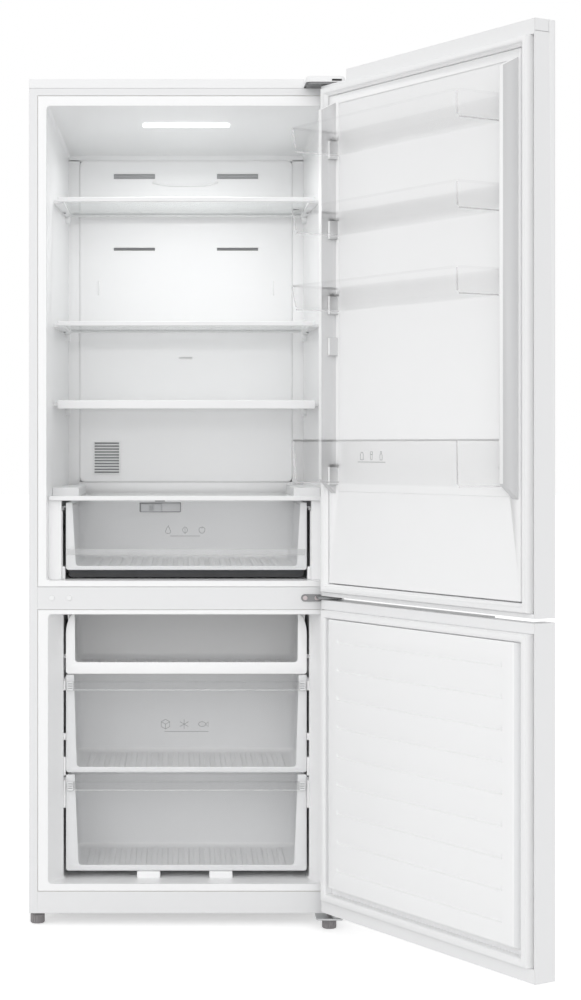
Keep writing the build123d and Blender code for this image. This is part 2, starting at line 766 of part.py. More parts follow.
def make_compressor_cover():
    """Vented sheet over the machine room."""
    y0 = cabinet_depth - sheet
    cover = block(sheet - half, half - sheet, y0, cabinet_depth, floor_gap + 3, room_top - 1)
    for row in range(6):
        z = floor_gap + 40 + row * 24
        for column in range(7):
            x = -270 + column * 90
            cover -= plate(x - 34, x + 34, y0 - 1, cabinet_depth + 1, z - 3, z + 3, 2.9)
    return cover


def make_back_panel():
    y0 = cabinet_depth - sheet
    panel = block(sheet - half, half - sheet, y0, cabinet_depth, room_top - 1 + fit_gap, cabinet_height - 2)
    return panel


# ---- hinges ----
hinge_low_z = floor_gap - hinge_plate
mid_plate_high = door_between_high - 2.2
mid_plate_low = mid_plate_high - 4.5


def make_top_hinge():
    low = top_face + fit_gap / 3
    x0 = half - 85
    bracket = slab(x0, half - 5, hinge_y - 15, top_cap_depth - 10, low, low + hinge_plate, 9)
    stiff = block(x0 + 2, half - 32, -6, top_cap_depth - 14, low, low + 11.5)
    for i in range(4):
        z = low + hinge_plate + 0.8 + i * 1.9
        stiff -= block(x0, half, -7, -4.5, z, z + 1.0)
    bracket += stiff
    bracket += post(hinge_x, hinge_y, door_top - notch_depth - pin_grip, low + 1, pin_radius)
    for x in (x0 + 14, x0 + 40):
        bracket -= post(x, top_cap_depth - 36, low - 1, low + 20, screw_radius + fit_gap)
        bracket -= post(x, top_cap_depth - 36, low + hinge_plate, low + 20, 6)
    return bracket


def make_top_hinge_cover():
    wall = 2.0
    x0, x1 = half - 88, half - 1
    y0, y1 = hinge_y - 18, top_cap_depth - 1
    z0 = top_face + fit_gap / 3 + hinge_plate + fit_gap / 3
    z1 = z0 + hinge_cover_height
    shell = slab(x0, x1, y0, y1, z0, z1, 12)
    shell = fillet(shell.faces().sort_by(Axis.Z)[-1].edges(), 7)
    hollow = slab(x0 + wall, x1 - wall, y0 + wall, y1 - wall, z0 - 1, z1 - wall, 10)
    shell -= fillet(hollow.faces().sort_by(Axis.Z)[-1].edges(), 5)
    return shell - block(half - 30.5, half - 9.0, y0 - 1, y0 + wall + 1, z0 + 2.0, z0 + 6.4)


def make_middle_hinge():
    """Plate on the middle beam, with an arm between the doors and a pin each way."""
    x0, x1 = half - 95, half - 47
    bracket = plate(x0, x1, -3, -fit_gap / 3, beam_screw_z - 8, beam_screw_z + 8, 7.9)
    arm = slab(half - 62, half - 8, hinge_y - 12, -fit_gap / 3, mid_plate_low, mid_plate_high, 5)
    bracket += arm
    bracket += post(hinge_x, hinge_y, door_between_low - pin_grip, mid_plate_low + 1, pin_radius)
    bracket += post(hinge_x, hinge_y, mid_plate_high - 1, door_between_high + pin_grip, pin_radius)
    bracket += post(hinge_x, hinge_y, mid_plate_high - 1, door_between_high - fit_gap, pin_radius + 4)
    for x in beam_screw_places()[0]:
        bracket -= rod_y(x, beam_screw_z, -10, 5, screw_radius + fit_gap)
        bracket -= rod_y(x, beam_screw_z, -10, -3, screw_radius + 3.5)
    return bracket


def make_bottom_hinge():
    """Bracket under the cabinet that holds the lower pin and the right front foot."""
    bracket = slab(half - 64, half - 5, hinge_y - 12, 70, hinge_low_z, floor_gap - fit_gap / 3, 6)
    bracket += post(hinge_x, hinge_y, floor_gap - 1, door_floor_gap + pin_grip, pin_radius)
    bracket += post(hinge_x, hinge_y, floor_gap - 1, door_floor_gap - fit_gap, pin_radius + 4)
    return bracket - post(half - right_foot_out, right_foot_y, 0, floor_gap + 5, foot_stem + run_gap)


def make_hinge_screws():
    screws = []
    for x in beam_screw_places()[0]:
        screw = rod_y(x, beam_screw_z, -5.5, -3 - fit_gap / 3, 5)
        screws.append(screw + rod_y(x, beam_screw_z, -4, 10, screw_radius))
    low = top_face + fit_gap / 3 + hinge_plate
    for x in (half - 71, half - 45):
        screw = post(x, top_cap_depth - 36, low + fit_gap / 3, low + 3.2, 5)
        screws.append(screw + post(x, top_cap_depth - 36, top_face + fit_gap / 3, low + 1, screw_radius))
    return screws


def make_screw_caps():
    caps = []
    for x in beam_screw_places()[1]:
        cap = rod_y(x, beam_screw_z, -1.6, -fit_gap / 3, 6)
        caps.append(cap + rod_y(x, beam_screw_z, -1, 8, screw_radius))
    return caps


# ---- feet and rollers ----
def make_foot(x, y, top):
    """Ribbed levelling foot on its threaded stem."""
    knob = post(x, y, 0, foot_height, foot_radius)
    knob = chamfer(knob.edges().filter_by(GeomType.CIRCLE), 1.6)
    grooves = 18
    for i in range(grooves):
        a = 2 * math.pi * i / grooves
        knob -= post(x + foot_radius * math.cos(a), y + foot_radius * math.sin(a), 3, foot_height + 1, 1.1)
    return knob, post(x, y, foot_height, top, foot_stem)


def make_roller(x):
    wheel = rod_x(roller_y, roller_radius, x - roller_width / 2, x + roller_width / 2, roller_radius)
    wheel = chamfer(wheel.edges().filter_by(GeomType.CIRCLE), 1)
    return wheel - rod_x(roller_y, roller_radius, x - roller_width, x + roller_width, 3 + run_gap)


def make_roller_bracket(x):
    """Fork and axle of one rear roller."""
    inner = roller_width / 2 + 0.8
    fork = block(x - inner - 2, x + inner + 2, roller_y - 9, roller_y + 9, roller_radius - 6, floor_gap - fit_gap / 3)
    fork -= block(x - inner, x + inner, roller_y - 20, roller_y + 20, 0, floor_gap - 1.3)
    return fork + rod_x(roller_y, roller_radius, x - inner - 1, x + inner + 1, 3)


# ---- doors, drawn shut and then swung open ----
def make_door_skin(z0, z1, cap_low, cap_high):
    """Outer steel sheet: face, two sides and their hems."""
    skin = block(-half, half, skin_y, rim_y, z0, z1)
    skin = fillet(skin.edges().filter_by(Axis.Z).group_by(Axis.Y)[0], door_edge_radius)
    room = block(door_sheet - half, half - door_sheet, skin_y + door_sheet, rim_y + 1, z0 - 1, z1 + 1)
    skin -= fillet(room.edges().filter_by(Axis.Z).group_by(Axis.Y)[0], door_edge_radius - door_sheet)
    hem = block(half - door_hem, half - door_sheet / 2, rim_y - door_sheet, rim_y, z0 + cap_low, z1 - cap_high)
    for piece in both_sides(hem):
        skin += piece
    if z1 == door_top:
        skin -= block(half - notch_width, half + 1, skin_y - 1, 0, z1 - notch_depth, z1 + 1)
    return skin - grip_pocket(z0, z1)


def seal_frame(z0, z1, cap_low, cap_high):
    """Outer edges of the gasket: half width, bottom and top."""
    return half - seal_inset, z0 + cap_low + fit_gap, z1 - cap_high - fit_gap


def make_gasket(z0, z1, cap_low, cap_high):
    """Magnetic seal all round the door's inner face."""
    outer, low, high = seal_frame(z0, z1, cap_low, cap_high)
    y0 = seat_y + fit_gap / 3
    y1 = -seal_face_gap
    seal = plate(-outer, outer, y0, y1, low, high, 6)
    seal = fillet(seal.faces().sort_by(Axis.Y)[-1].edges(), 3)
    w = seal_width
    return seal - plate(w - outer, outer - w, y0 - 1, y1 + 1, low + w, high - w, 3)


def frustum(x0, x1, z0, z1, y0, y1, lean_x, lean_low, lean_high):
    """Block across the cabinet whose far face is drawn in."""
    foot = plate_face(x0, x1, z0, z1, y0)
    top = plate_face(x0 + lean_x, x1 - lean_x, z0 + lean_low, z1 - lean_high, y1)
    return loft([foot, top], ruled=True)


def plate_face(x0, x1, z0, z1, y):
    outline = Pos((x0 + x1) / 2, (z0 + z1) / 2) * Rectangle(x1 - x0, z1 - z0)
    return (Plane.XZ.offset(-y) * outline).face()


def make_liner_plate(z0, z1, cap_low, cap_high):
    """Flat part of a door's inner liner, on which the gasket sits."""
    edge = half - door_hem - fit_gap
    return block(-edge, edge, seat_y - liner_wall, seat_y, z0 + cap_low + fit_gap, z1 - cap_high - fit_gap)


bin_half_top = half - dyke_outer - dyke_width - bin_end_gap
bin_half_low = bin_half_top - bin_lean
dyke_z0 = cover_top + 5.0
dyke_z1 = door_top - upper_cap_high - 36.0
dyke_x1 = half - dyke_outer
dyke_x0 = dyke_x1 - dyke_width
dyke_top_y = rim_y + dyke_height


def dyke_solid(shrink):
    return frustum(dyke_x0 + shrink, dyke_x1 - shrink, dyke_z0 + shrink, dyke_z1 - shrink, rim_y, dyke_top_y - shrink,
                   dyke_draft, dyke_toe, dyke_rise)


def bin_z(i):
    return dyke_z0 + (dyke_z1 - dyke_z0) * bin_levels[i]


def upper_field(shrink):
    """Raised field of the refrigerator door's liner."""
    x1 = half - panel_inset - shrink
    z0 = door_between_high + upper_cap_low + 20 + shrink
    z1 = door_top - upper_cap_high - 20 - shrink
    return frustum(-x1, x1, z0, z1, seat_y - liner_wall - shrink, rim_y + upper_panel_rise - shrink, 2, 2, 2)


def make_upper_door_liner():
    liner = make_liner_plate(door_between_high, door_top, upper_cap_low, upper_cap_high)
    liner += upper_field(0)
    liner -= upper_field(liner_wall)
    skin_back = rim_y + upper_panel_rise - liner_wall
    for piece in both_sides(dyke_solid(0) & block(-half, half, skin_back, dyke_top_y, 0, cabinet_height)):
        liner += piece
    for piece in both_sides(dyke_solid(liner_wall)):
        liner -= piece
    liner -= recess_field()
    lugs = [bin_z(i) for i in range(len(bin_levels))]
    lugs.append(dyke_z0 + (dyke_z1 - dyke_z0) * spare_lug_level)
    for z in lugs:
        lug = block(dyke_x0 - lug_reach, dyke_x0 + 1.2, rim_y + upper_panel_rise - 1, rim_y + upper_panel_rise + lug_depth,
                    z - lug_drop, z - lug_drop + lug_height)
        for piece in both_sides(lug):
            liner += piece
    return liner


def recess_field():
    """Shallow hollow between the ridges, under a level upper edge."""
    x1 = dyke_x0 - 10
    return frustum(-x1, x1, dyke_z0 + 8, dyke_z1 - 5, rim_y + upper_panel_rise + 0.01, rim_y + upper_panel_rise - 1.2, 0, 0, 0)


def lower_field(shrink):
    """Raised field of the freezer door's liner, which enters the opening."""
    x1 = half - freezer_panel_inset - shrink
    z0 = freezer_floor + 2 + shrink
    z1 = freezer_ceiling - 3 - shrink
    lean = freezer_panel_lean
    return frustum(-x1, x1, z0, z1, seat_y - liner_wall - shrink, rim_y + lower_panel_rise - shrink, lean, 8, 3)


lower_rib_count = 9
lower_rib_half = half - 78


def make_lower_door_liner():
    liner = make_liner_plate(door_floor_gap, door_between_low, lower_cap_low, lower_cap_high)
    liner += lower_field(0)
    liner -= lower_field(liner_wall)
    face = rim_y + lower_panel_rise
    span = freezer_ceiling - freezer_floor
    pitch = span * 0.1035
    for i in range(lower_rib_count):
        z = freezer_ceiling - 46 - i * pitch
        rib = plate(-lower_rib_half, lower_rib_half, face - 1, face + 2.4, z - 4, z + 4, 3.9)
        liner += rib
    return liner


def door_block(edge, y0, y1, z0, z1):
    """Block as wide as the door, with its outer corners rounded to lie inside the sheet."""
    body = block(-edge, edge, y0, y1, z0, z1)
    return fillet(body.edges().filter_by(Axis.Z).group_by(Axis.Y)[0], door_edge_radius)


def make_door_foam(z0, z1, cap_low, cap_high, field, extras):
    """Insulation between the door's sheet and its liner."""
    edge = half - door_sheet - fit_gap
    back = skin_y + door_sheet + fit_gap
    foam = door_block(edge, back, seat_y - liner_wall - fit_gap, z0 + cap_low + fit_gap, z1 - cap_high - fit_gap)
    foam += field
    for piece in extras:
        foam += piece
    foam -= hinge_bosses(z0, z1, 1.0)
    return foam - grip_housing(z0, z1, fit_gap)


def hinge_bosses(z0, z1, grow):
    """Bosses at the hinge corner, bored for the pins."""
    r = pin_radius + 6 + grow
    tall = pin_grip + 4 + grow
    top = z1 - (notch_depth if z1 == door_top else 0)
    return post(hinge_x, hinge_y, z0, z0 + tall, r) + post(hinge_x, hinge_y, top - tall, top, r)


def grip_housing(z0, z1, grow):
    """Box around the finger grip at the free edge, at the bottom of the upper door or the top of the lower."""
    x0 = grip_inset - half - grow
    x1 = x0 + grip_length + 2 * grow
    y0 = skin_y + door_sheet + fit_gap / 3 - grow
    y1 = y0 + grip_depth + 2 * grow
    if z0 == door_between_high:
        return block(x0, x1, y0, y1, z0, z0 + grip_height + grow)
    return block(x0, x1, y0, y1, z1 - grip_height - grow, z1)


def grip_pocket(z0, z1):
    """Hollow of the finger grip, open towards the other door and over a low lip to the front."""
    w = grip_wall
    x0 = grip_inset - half + w
    x1 = x0 + grip_length - 2 * w
    y0 = skin_y + door_sheet + fit_gap / 3
    y1 = y0 + grip_depth - w
    if z0 == door_between_high:
        hollow = block(x0, x1, y0 + w, y1, z0 - 1, z0 + grip_height - w)
        return hollow + block(x0, x1, skin_y - 1, y0 + w + 1, z0 - 1, z0 + grip_lip)
    hollow = block(x0, x1, y0 + w, y1, z1 - grip_height + w, z1 + 1)
    return hollow + block(x0, x1, skin_y - 1, y0 + w + 1, z1 - grip_lip, z1 + 1)


def make_caps(z0, z1, cap_low, cap_high):
    """Plastic end caps of a door, with hinge bosses and the finger grip."""
    edge = half - door_sheet - fit_gap / 3
    back = skin_y + door_sheet + fit_gap / 3
    low = door_block(edge, back, rim_y, z0, z0 + cap_low)
    high = door_block(edge, back, rim_y, z1 - cap_high, z1)
    boss_low = post(hinge_x, hinge_y, z0, z0 + pin_grip + 4, pin_radius + 6)
    low += boss_low
    top = z1
    if z1 == door_top:
        top = z1 - notch_depth
        high -= block(half - notch_width, half, skin_y, 0, top, z1 + 1)
    high += post(hinge_x, hinge_y, top - pin_grip - 4, top, pin_radius + 6)
    grip = grip_housing(z0, z1, 0)
    if z0 == door_between_high:
        low = low + grip - grip_pocket(z0, z1)
    else:
        high = high + grip - grip_pocket(z0, z1)
    bore = pin_radius + run_gap
    low -= post(hinge_x, hinge_y, z0 - 1, z0 + pin_grip + 1, bore)
    high -= post(hinge_x, hinge_y, top - pin_grip - 1, top + 1, bore)
    return low, high


def make_bin(i):
    """Clear bin with a leaning front, hung by two hangers on the lugs."""
    z0 = bin_z(i)
    z1 = z0 + bin_heights[i]
    back = rim_y + upper_panel_rise + bin_back_gap
    w = bin_wall
    corner = 9.0
    outer = loft([
        lying(z0, -bin_half_low, bin_half_low, back, bin_front_low, corner),
        lying(z1, -bin_half_top, bin_half_top, back, bin_front_top, corner),
    ])
    inner = loft([
        lying(z0 + w, w - bin_half_low, bin_half_low - w, back + w, bin_front_low - w, corner - w),
        lying(z1 + 1, w - bin_half_top, bin_half_top - w, back + w, bin_front_top - w, corner - w),
    ])
    tray = outer - inner
    seat = z0 - lug_drop + lug_height
    y0 = back + 2
    hook = block(bin_half_low - 1, dyke_x0 - 2.5, y0, y0 + lug_depth - 5, seat, seat + hanger)
    hook -= inner
    for piece in both_sides(hook):
        tray += piece
    return tray


# ---- write every piece ----
def write_cabinet():
    write("outer_wrap", make_outer_wrap())
    write("back_panel", make_back_panel())
    write("base_plate", make_base_plate())
    write("top_cap", make_top_cap())
    write("fridge_liner", make_fridge_liner())
    write("freezer_liner", make_freezer_liner())
    write("insulation_foam", make_foam())
    write("center_beam", make_center_beam())
    write("air_duct_panel", make_air_duct_panel())
    write("return_grille", make_return_grille())
    write("lamp_lens", make_lamp_lens())
    write("shelf_supports", *make_shelf_supports())
    for i in range(len(shelf_levels)):
        write(f"shelf_glass_{i + 1}", glass_sheet(i, 0))
        write(f"shelf_trims_{i + 1}", *make_shelf_trims(i))
    write("crisper_cover_glass", cover_glass_room(0))
    write("crisper_cover_frame", make_crisper_cover_frame())
    write("crisper_guides", *make_crisper_guides())


def write_drawers():
    write("crisper_drawer", make_crisper_drawer())
    write("humidity_slider", make_humidity_slider())
    for i, name in enumerate(("bottom", "middle")):
        write(f"{name}_drawer_body", make_drawer_body(i))
        write(f"{name}_drawer_front", make_drawer_front(i))
    write("freezer_tray", make_drawer_body(2))


def write_cooling():
    write("freezer_duct_panel", make_freezer_duct_panel())
    write("evaporator", make_evaporator())
    write("fan_rotor", make_fan_rotor())
    write("fan_motor", make_fan_motor())
    write("compressor", make_compressor())
    write("drip_tray", make_drip_tray())
    write("compressor_cover", make_compressor_cover())


def write_hinges_and_feet():
    write("top_hinge", make_top_hinge())
    write("top_hinge_cover", make_top_hinge_cover())
    write("middle_hinge", make_middle_hinge())
    write("bottom_hinge", make_bottom_hinge())
    write("hinge_screws", *make_hinge_screws())
    write("screw_caps", *make_screw_caps())
    write("left_foot", *make_foot(left_foot_x, left_foot_y, floor_gap + 18))
    write("right_foot", *make_foot(half - right_foot_out, right_foot_y, floor_gap + 9))
    roller_x = half - roller_inset
    write("left_roller", make_roller(-roller_x))
    write("right_roller", make_roller(roller_x))
    write("roller_brackets", make_roller_bracket(-roller_x), make_roller_bracket(roller_x))


def write_doors():
    upper = (door_between_high, door_top, upper_cap_low, upper_cap_high)
    lower = (door_floor_gap, door_between_low, lower_cap_low, lower_cap_high)
    dykes = both_sides(dyke_solid(liner_wall + fit_gap))
    write("upper_door_skin", open_pose * make_door_skin(*upper))
    write("upper_door_liner", open_pose * make_upper_door_liner())
    write("upper_door_caps", *[open_pose * cap for cap in make_caps(*upper)])
    write("upper_door_gasket", open_pose * make_gasket(*upper))
    write("upper_door_foam", open_pose * make_door_foam(*upper, upper_field(liner_wall + fit_gap), dykes))
    write("lower_door_skin", open_pose * make_door_skin(*lower))
    write("lower_door_liner", open_pose * make_lower_door_liner())
    write("lower_door_caps", *[open_pose * cap for cap in make_caps(*lower)])
    write("lower_door_gasket", open_pose * make_gasket(*lower))
    write("lower_door_foam", open_pose * make_door_foam(*lower, lower_field(liner_wall + fit_gap), []))
    for i in range(len(bin_levels)):
        write(f"door_bin_{i + 1}", open_pose * make_bin(i))


write_cabinet()
write_drawers()
write_cooling()
write_hinges_and_feet()
write_doors()
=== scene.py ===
import json
import math

import bmesh
import bpy
from mathutils import Matrix, Vector


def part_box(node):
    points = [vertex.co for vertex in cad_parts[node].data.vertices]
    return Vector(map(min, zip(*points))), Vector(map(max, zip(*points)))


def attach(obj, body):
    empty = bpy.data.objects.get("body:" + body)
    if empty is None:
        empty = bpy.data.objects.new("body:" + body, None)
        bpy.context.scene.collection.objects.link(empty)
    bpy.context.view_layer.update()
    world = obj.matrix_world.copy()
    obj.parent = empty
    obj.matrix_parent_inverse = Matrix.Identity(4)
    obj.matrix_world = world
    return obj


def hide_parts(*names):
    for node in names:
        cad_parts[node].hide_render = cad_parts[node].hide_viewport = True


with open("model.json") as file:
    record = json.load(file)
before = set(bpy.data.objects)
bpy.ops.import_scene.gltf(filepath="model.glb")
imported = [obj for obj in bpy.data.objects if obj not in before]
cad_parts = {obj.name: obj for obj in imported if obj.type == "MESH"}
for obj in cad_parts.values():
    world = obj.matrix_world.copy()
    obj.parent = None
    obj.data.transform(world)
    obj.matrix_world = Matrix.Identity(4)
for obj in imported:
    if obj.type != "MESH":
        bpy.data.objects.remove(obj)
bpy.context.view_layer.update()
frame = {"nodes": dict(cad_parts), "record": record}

nodes = frame["nodes"]

# where things stand in the frame, in metres: the pieces below are drawn about the middle
# of the cabinet's front, like the cabinet itself, and are moved over when they are done
beamLow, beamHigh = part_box("center_beam")
layout = {
    "middle": ((beamLow[0] + beamHigh[0]) / 2, beamLow[1], 0.0),
    "hinge": (0.330, -0.0402),       # door axis, from that middle
    "openAngle": 121.5,              # degrees
}


def switch(mode):
    bpy.ops.object.mode_set(mode=mode)


def clearSelection():
    if bpy.context.object and bpy.context.object.mode != "OBJECT":
        switch("OBJECT")
    bpy.ops.object.select_all(action="DESELECT")


def choose(*pieces):
    clearSelection()
    for piece in pieces:
        piece.select_set(True)
    bpy.context.view_layer.objects.active = pieces[-1]


# camera, stage and light
cameraSet = {
    "place": (-0.010, -4.42395, 1.06346),
    "data": {"lens": 71.61, "sensor_width": 36, "shift_x": 0.1086, "shift_y": -0.0530, "clip_end": 200},
}
stageSet = {
    "radius": 40.0, "vertices": 96, "height": -0.0004,
    "colour": (0.77, 0.77, 0.77, 1), "roughness": 0.8, "shine": 0.1, "lift": 0.48,
}
lightSet = {
    "sky": 0.835,
    "background": 1.0,
    "sunPlace": (0, -3, 4),
    # name: direction the light travels, strength, softness in degrees
    "suns": {
        "frontSun": ((0.05, 1.0, -0.30), 0.48, 40),
        "leftSun": ((0.62, 0.70, -0.52), 0.28, 40),
    },
    "lampDrop": 0.012, "lampTilt": -5,
    "lamp": {"shape": "RECTANGLE", "size": 0.20, "size_y": 0.03, "energy": 0.83, "spread": math.radians(170)},
}


def setAll(thing, values):
    for name, value in values.items():
        setattr(thing, name, value)


def placeCamera():
    x, y, z = (a + b for a, b in zip(cameraSet["place"], layout["middle"]))
    bpy.ops.object.camera_add(location=(x, y, z), rotation=(math.radians(90), 0, 0))
    camera = bpy.context.object
    setAll(camera.data, cameraSet["data"])
    bpy.context.scene.camera = camera


def layFloor():
    clearSelection()
    bpy.ops.mesh.primitive_circle_add(vertices=stageSet["vertices"], radius=stageSet["radius"],
                                      fill_type="NGON", location=(0, 0, stageSet["height"]))
    floor = bpy.context.object
    floor.name = "studioFloor"
    bpy.ops.object.transform_apply(location=True)
    material, tree, shader = newMaterial("paleFloor")
    setInputs(shader, {"Base Color": stageSet["colour"], "Roughness": stageSet["roughness"],
                       "Specular IOR Level": stageSet["shine"], "Emission Color": (1, 1, 1, 1)})
    path = tree.nodes.new("ShaderNodeLightPath")
    seen = mathNode(tree, "MAXIMUM", path.outputs["Is Camera Ray"], path.outputs["Is Glossy Ray"])
    seen = mathNode(tree, "MAXIMUM", seen, path.outputs["Is Transmission Ray"])
    lift = mathNode(tree, "MULTIPLY", seen, stageSet["lift"])
    tree.links.new(lift, shader.inputs["Emission Strength"])
    floor.data.materials.append(material)


def lightRoom():
    world = bpy.data.worlds.new("studioSky")
    bpy.context.scene.world = world
    world.use_nodes = True
    tree = world.node_tree
    tree.nodes.clear()
    out = tree.nodes.new("ShaderNodeOutputWorld")
    seen = tree.nodes.new("ShaderNodeBackground")
    cast = tree.nodes.new("ShaderNodeBackground")
    setInputs(seen, {"Color": (1, 1, 1, 1), "Strength": lightSet["background"]})
    setInputs(cast, {"Color": (1, 1, 1, 1), "Strength": lightSet["sky"]})
    path = tree.nodes.new("ShaderNodeLightPath")
    both = mathNode(tree, "MAXIMUM", path.outputs["Is Camera Ray"], path.outputs["Is Transmission Ray"])
    mix = tree.nodes.new("ShaderNodeMixShader")
    tree.links.new(both, mix.inputs["Fac"])
    tree.links.new(cast.outputs[0], mix.inputs[1])
    tree.links.new(seen.outputs[0], mix.inputs[2])
    tree.links.new(mix.outputs[0], out.inputs["Surface"])
    for name, (way, strength, softness) in lightSet["suns"].items():
        bpy.ops.object.light_add(type="SUN", location=lightSet["sunPlace"])
        sun = bpy.context.object
        sun.name = name
        sun.data.energy = strength
        sun.data.angle = math.radians(softness)
        sun.rotation_euler = Vector(way).to_track_quat("-Z", "Y").to_euler()
    # the lamp under the compartment's ceiling
    low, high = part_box("lamp_lens")
    place = ((low[0] + high[0]) / 2, (low[1] + high[1]) / 2, low[2] - lightSet["lampDrop"])
    tilt = math.radians(lightSet["lampTilt"])
    bpy.ops.object.light_add(type="AREA", location=place, rotation=(tilt, 0, 0))
    lamp = bpy.context.object
    lamp.name = "ceilingLamp"
    setAll(lamp.data, lightSet["lamp"])
    lamp.visible_camera = False


# finishes
def newMaterial(name):
    material = bpy.data.materials.new(name)
    material.use_nodes = True
    tree = material.node_tree
    return material, tree, tree.nodes["Principled BSDF"]


def setInputs(node, values):
    for name, value in values.items():
        node.inputs[name].default_value = value


def newGroup(name, inputs):
    group = bpy.data.node_groups.new(name, "ShaderNodeTree")
    for label, value in inputs.items():
        kind = "NodeSocketColor" if isinstance(value, tuple) else "NodeSocketFloat"
        group.interface.new_socket(label, in_out="INPUT", socket_type=kind).default_value = value
    for label, kind in (("Colour", "Color"), ("Roughness", "Float"), ("Height", "Float")):
        group.interface.new_socket(label, in_out="OUTPUT", socket_type="NodeSocket" + kind)
    return group, group.nodes.new("NodeGroupInput"), group.nodes.new("NodeGroupOutput")


def feed(tree, socket, value):
    if hasattr(value, "links"):
        tree.links.new(value, socket)
    else:
        socket.default_value = value


def mathNode(tree, operation, first, second):
    node = tree.nodes.new("ShaderNodeMath")
    node.operation = operation
    feed(tree, node.inputs[0], first)
    feed(tree, node.inputs[1], second)
    return node.outputs[0]


def noiseNode(tree, vector, scale, detail):
    noise = tree.nodes.new("ShaderNodeTexNoise")
    noise.inputs["Detail"].default_value = detail
    tree.links.new(vector, noise.inputs["Vector"])
    feed(tree, noise.inputs["Scale"], scale)
    return noise.outputs["Fac"]


def tintNode(tree, mask, first, second):
    tint = tree.nodes.new("ShaderNodeMix")
    tint.data_type = "RGBA"
    tree.links.new(mask, tint.inputs["Factor"])
    tree.links.new(first, tint.inputs["A"])
    tree.links.new(second, tint.inputs["B"])
    return tint.outputs["Result"]


smearSet = {"scale": 3.1, "middle": 0.5}
brushSet = {"scale": 1.0, "roughness": 0.2}


def buildMouldedSurface():
    group, given, made = newGroup("mouldedSurface", {
        "Colour": (0.9, 0.9, 0.9, 1), "Shade": (0.8, 0.8, 0.8, 1), "Scale": 6.0,
        "Roughness": 0.3, "Spread": 0.1, "Grain": 900.0})
    links = group.links
    where = group.nodes.new("ShaderNodeTexCoord").outputs["Object"]
    cloud = noiseNode(group, where, given.outputs["Scale"], 2)
    links.new(tintNode(group, cloud, given.outputs["Colour"], given.outputs["Shade"]), made.inputs["Colour"])
    smearScale = mathNode(group, "MULTIPLY", given.outputs["Scale"], smearSet["scale"])
    smear = noiseNode(group, where, smearScale, 2)
    offset = mathNode(group, "SUBTRACT", smear, smearSet["middle"])
    spread = mathNode(group, "MULTIPLY", offset, given.outputs["Spread"])
    links.new(mathNode(group, "ADD", given.outputs["Roughness"], spread), made.inputs["Roughness"])
    links.new(noiseNode(group, where, given.outputs["Grain"], 2), made.inputs["Height"])
    return group


def buildBrushedLines():
    group, given, made = newGroup("brushedLines", {
        "Colour": (0.7, 0.7, 0.7, 1), "Shade": (0.5, 0.5, 0.5, 1), "Length": 12.0, "Width": 900.0,
        "Roughness": 0.35})
    links = group.links
    where = group.nodes.new("ShaderNodeTexCoord")
    stretch = group.nodes.new("ShaderNodeVectorMath")
    stretch.operation = "MULTIPLY"
    scale = group.nodes.new("ShaderNodeCombineXYZ")
    links.new(given.outputs["Length"], scale.inputs["X"])
    links.new(given.outputs["Width"], scale.inputs["Y"])
    links.new(given.outputs["Width"], scale.inputs["Z"])
    links.new(where.outputs["Object"], stretch.inputs[0])
    links.new(scale.outputs[0], stretch.inputs[1])
    lines = noiseNode(group, stretch.outputs[0], brushSet["scale"], 3)
    links.new(tintNode(group, lines, given.outputs["Colour"], given.outputs["Shade"]), made.inputs["Colour"])
    offset = mathNode(group, "MULTIPLY", lines, brushSet["roughness"])
    links.new(mathNode(group, "ADD", given.outputs["Roughness"], offset), made.inputs["Roughness"])
    links.new(lines, made.inputs["Height"])
    return group


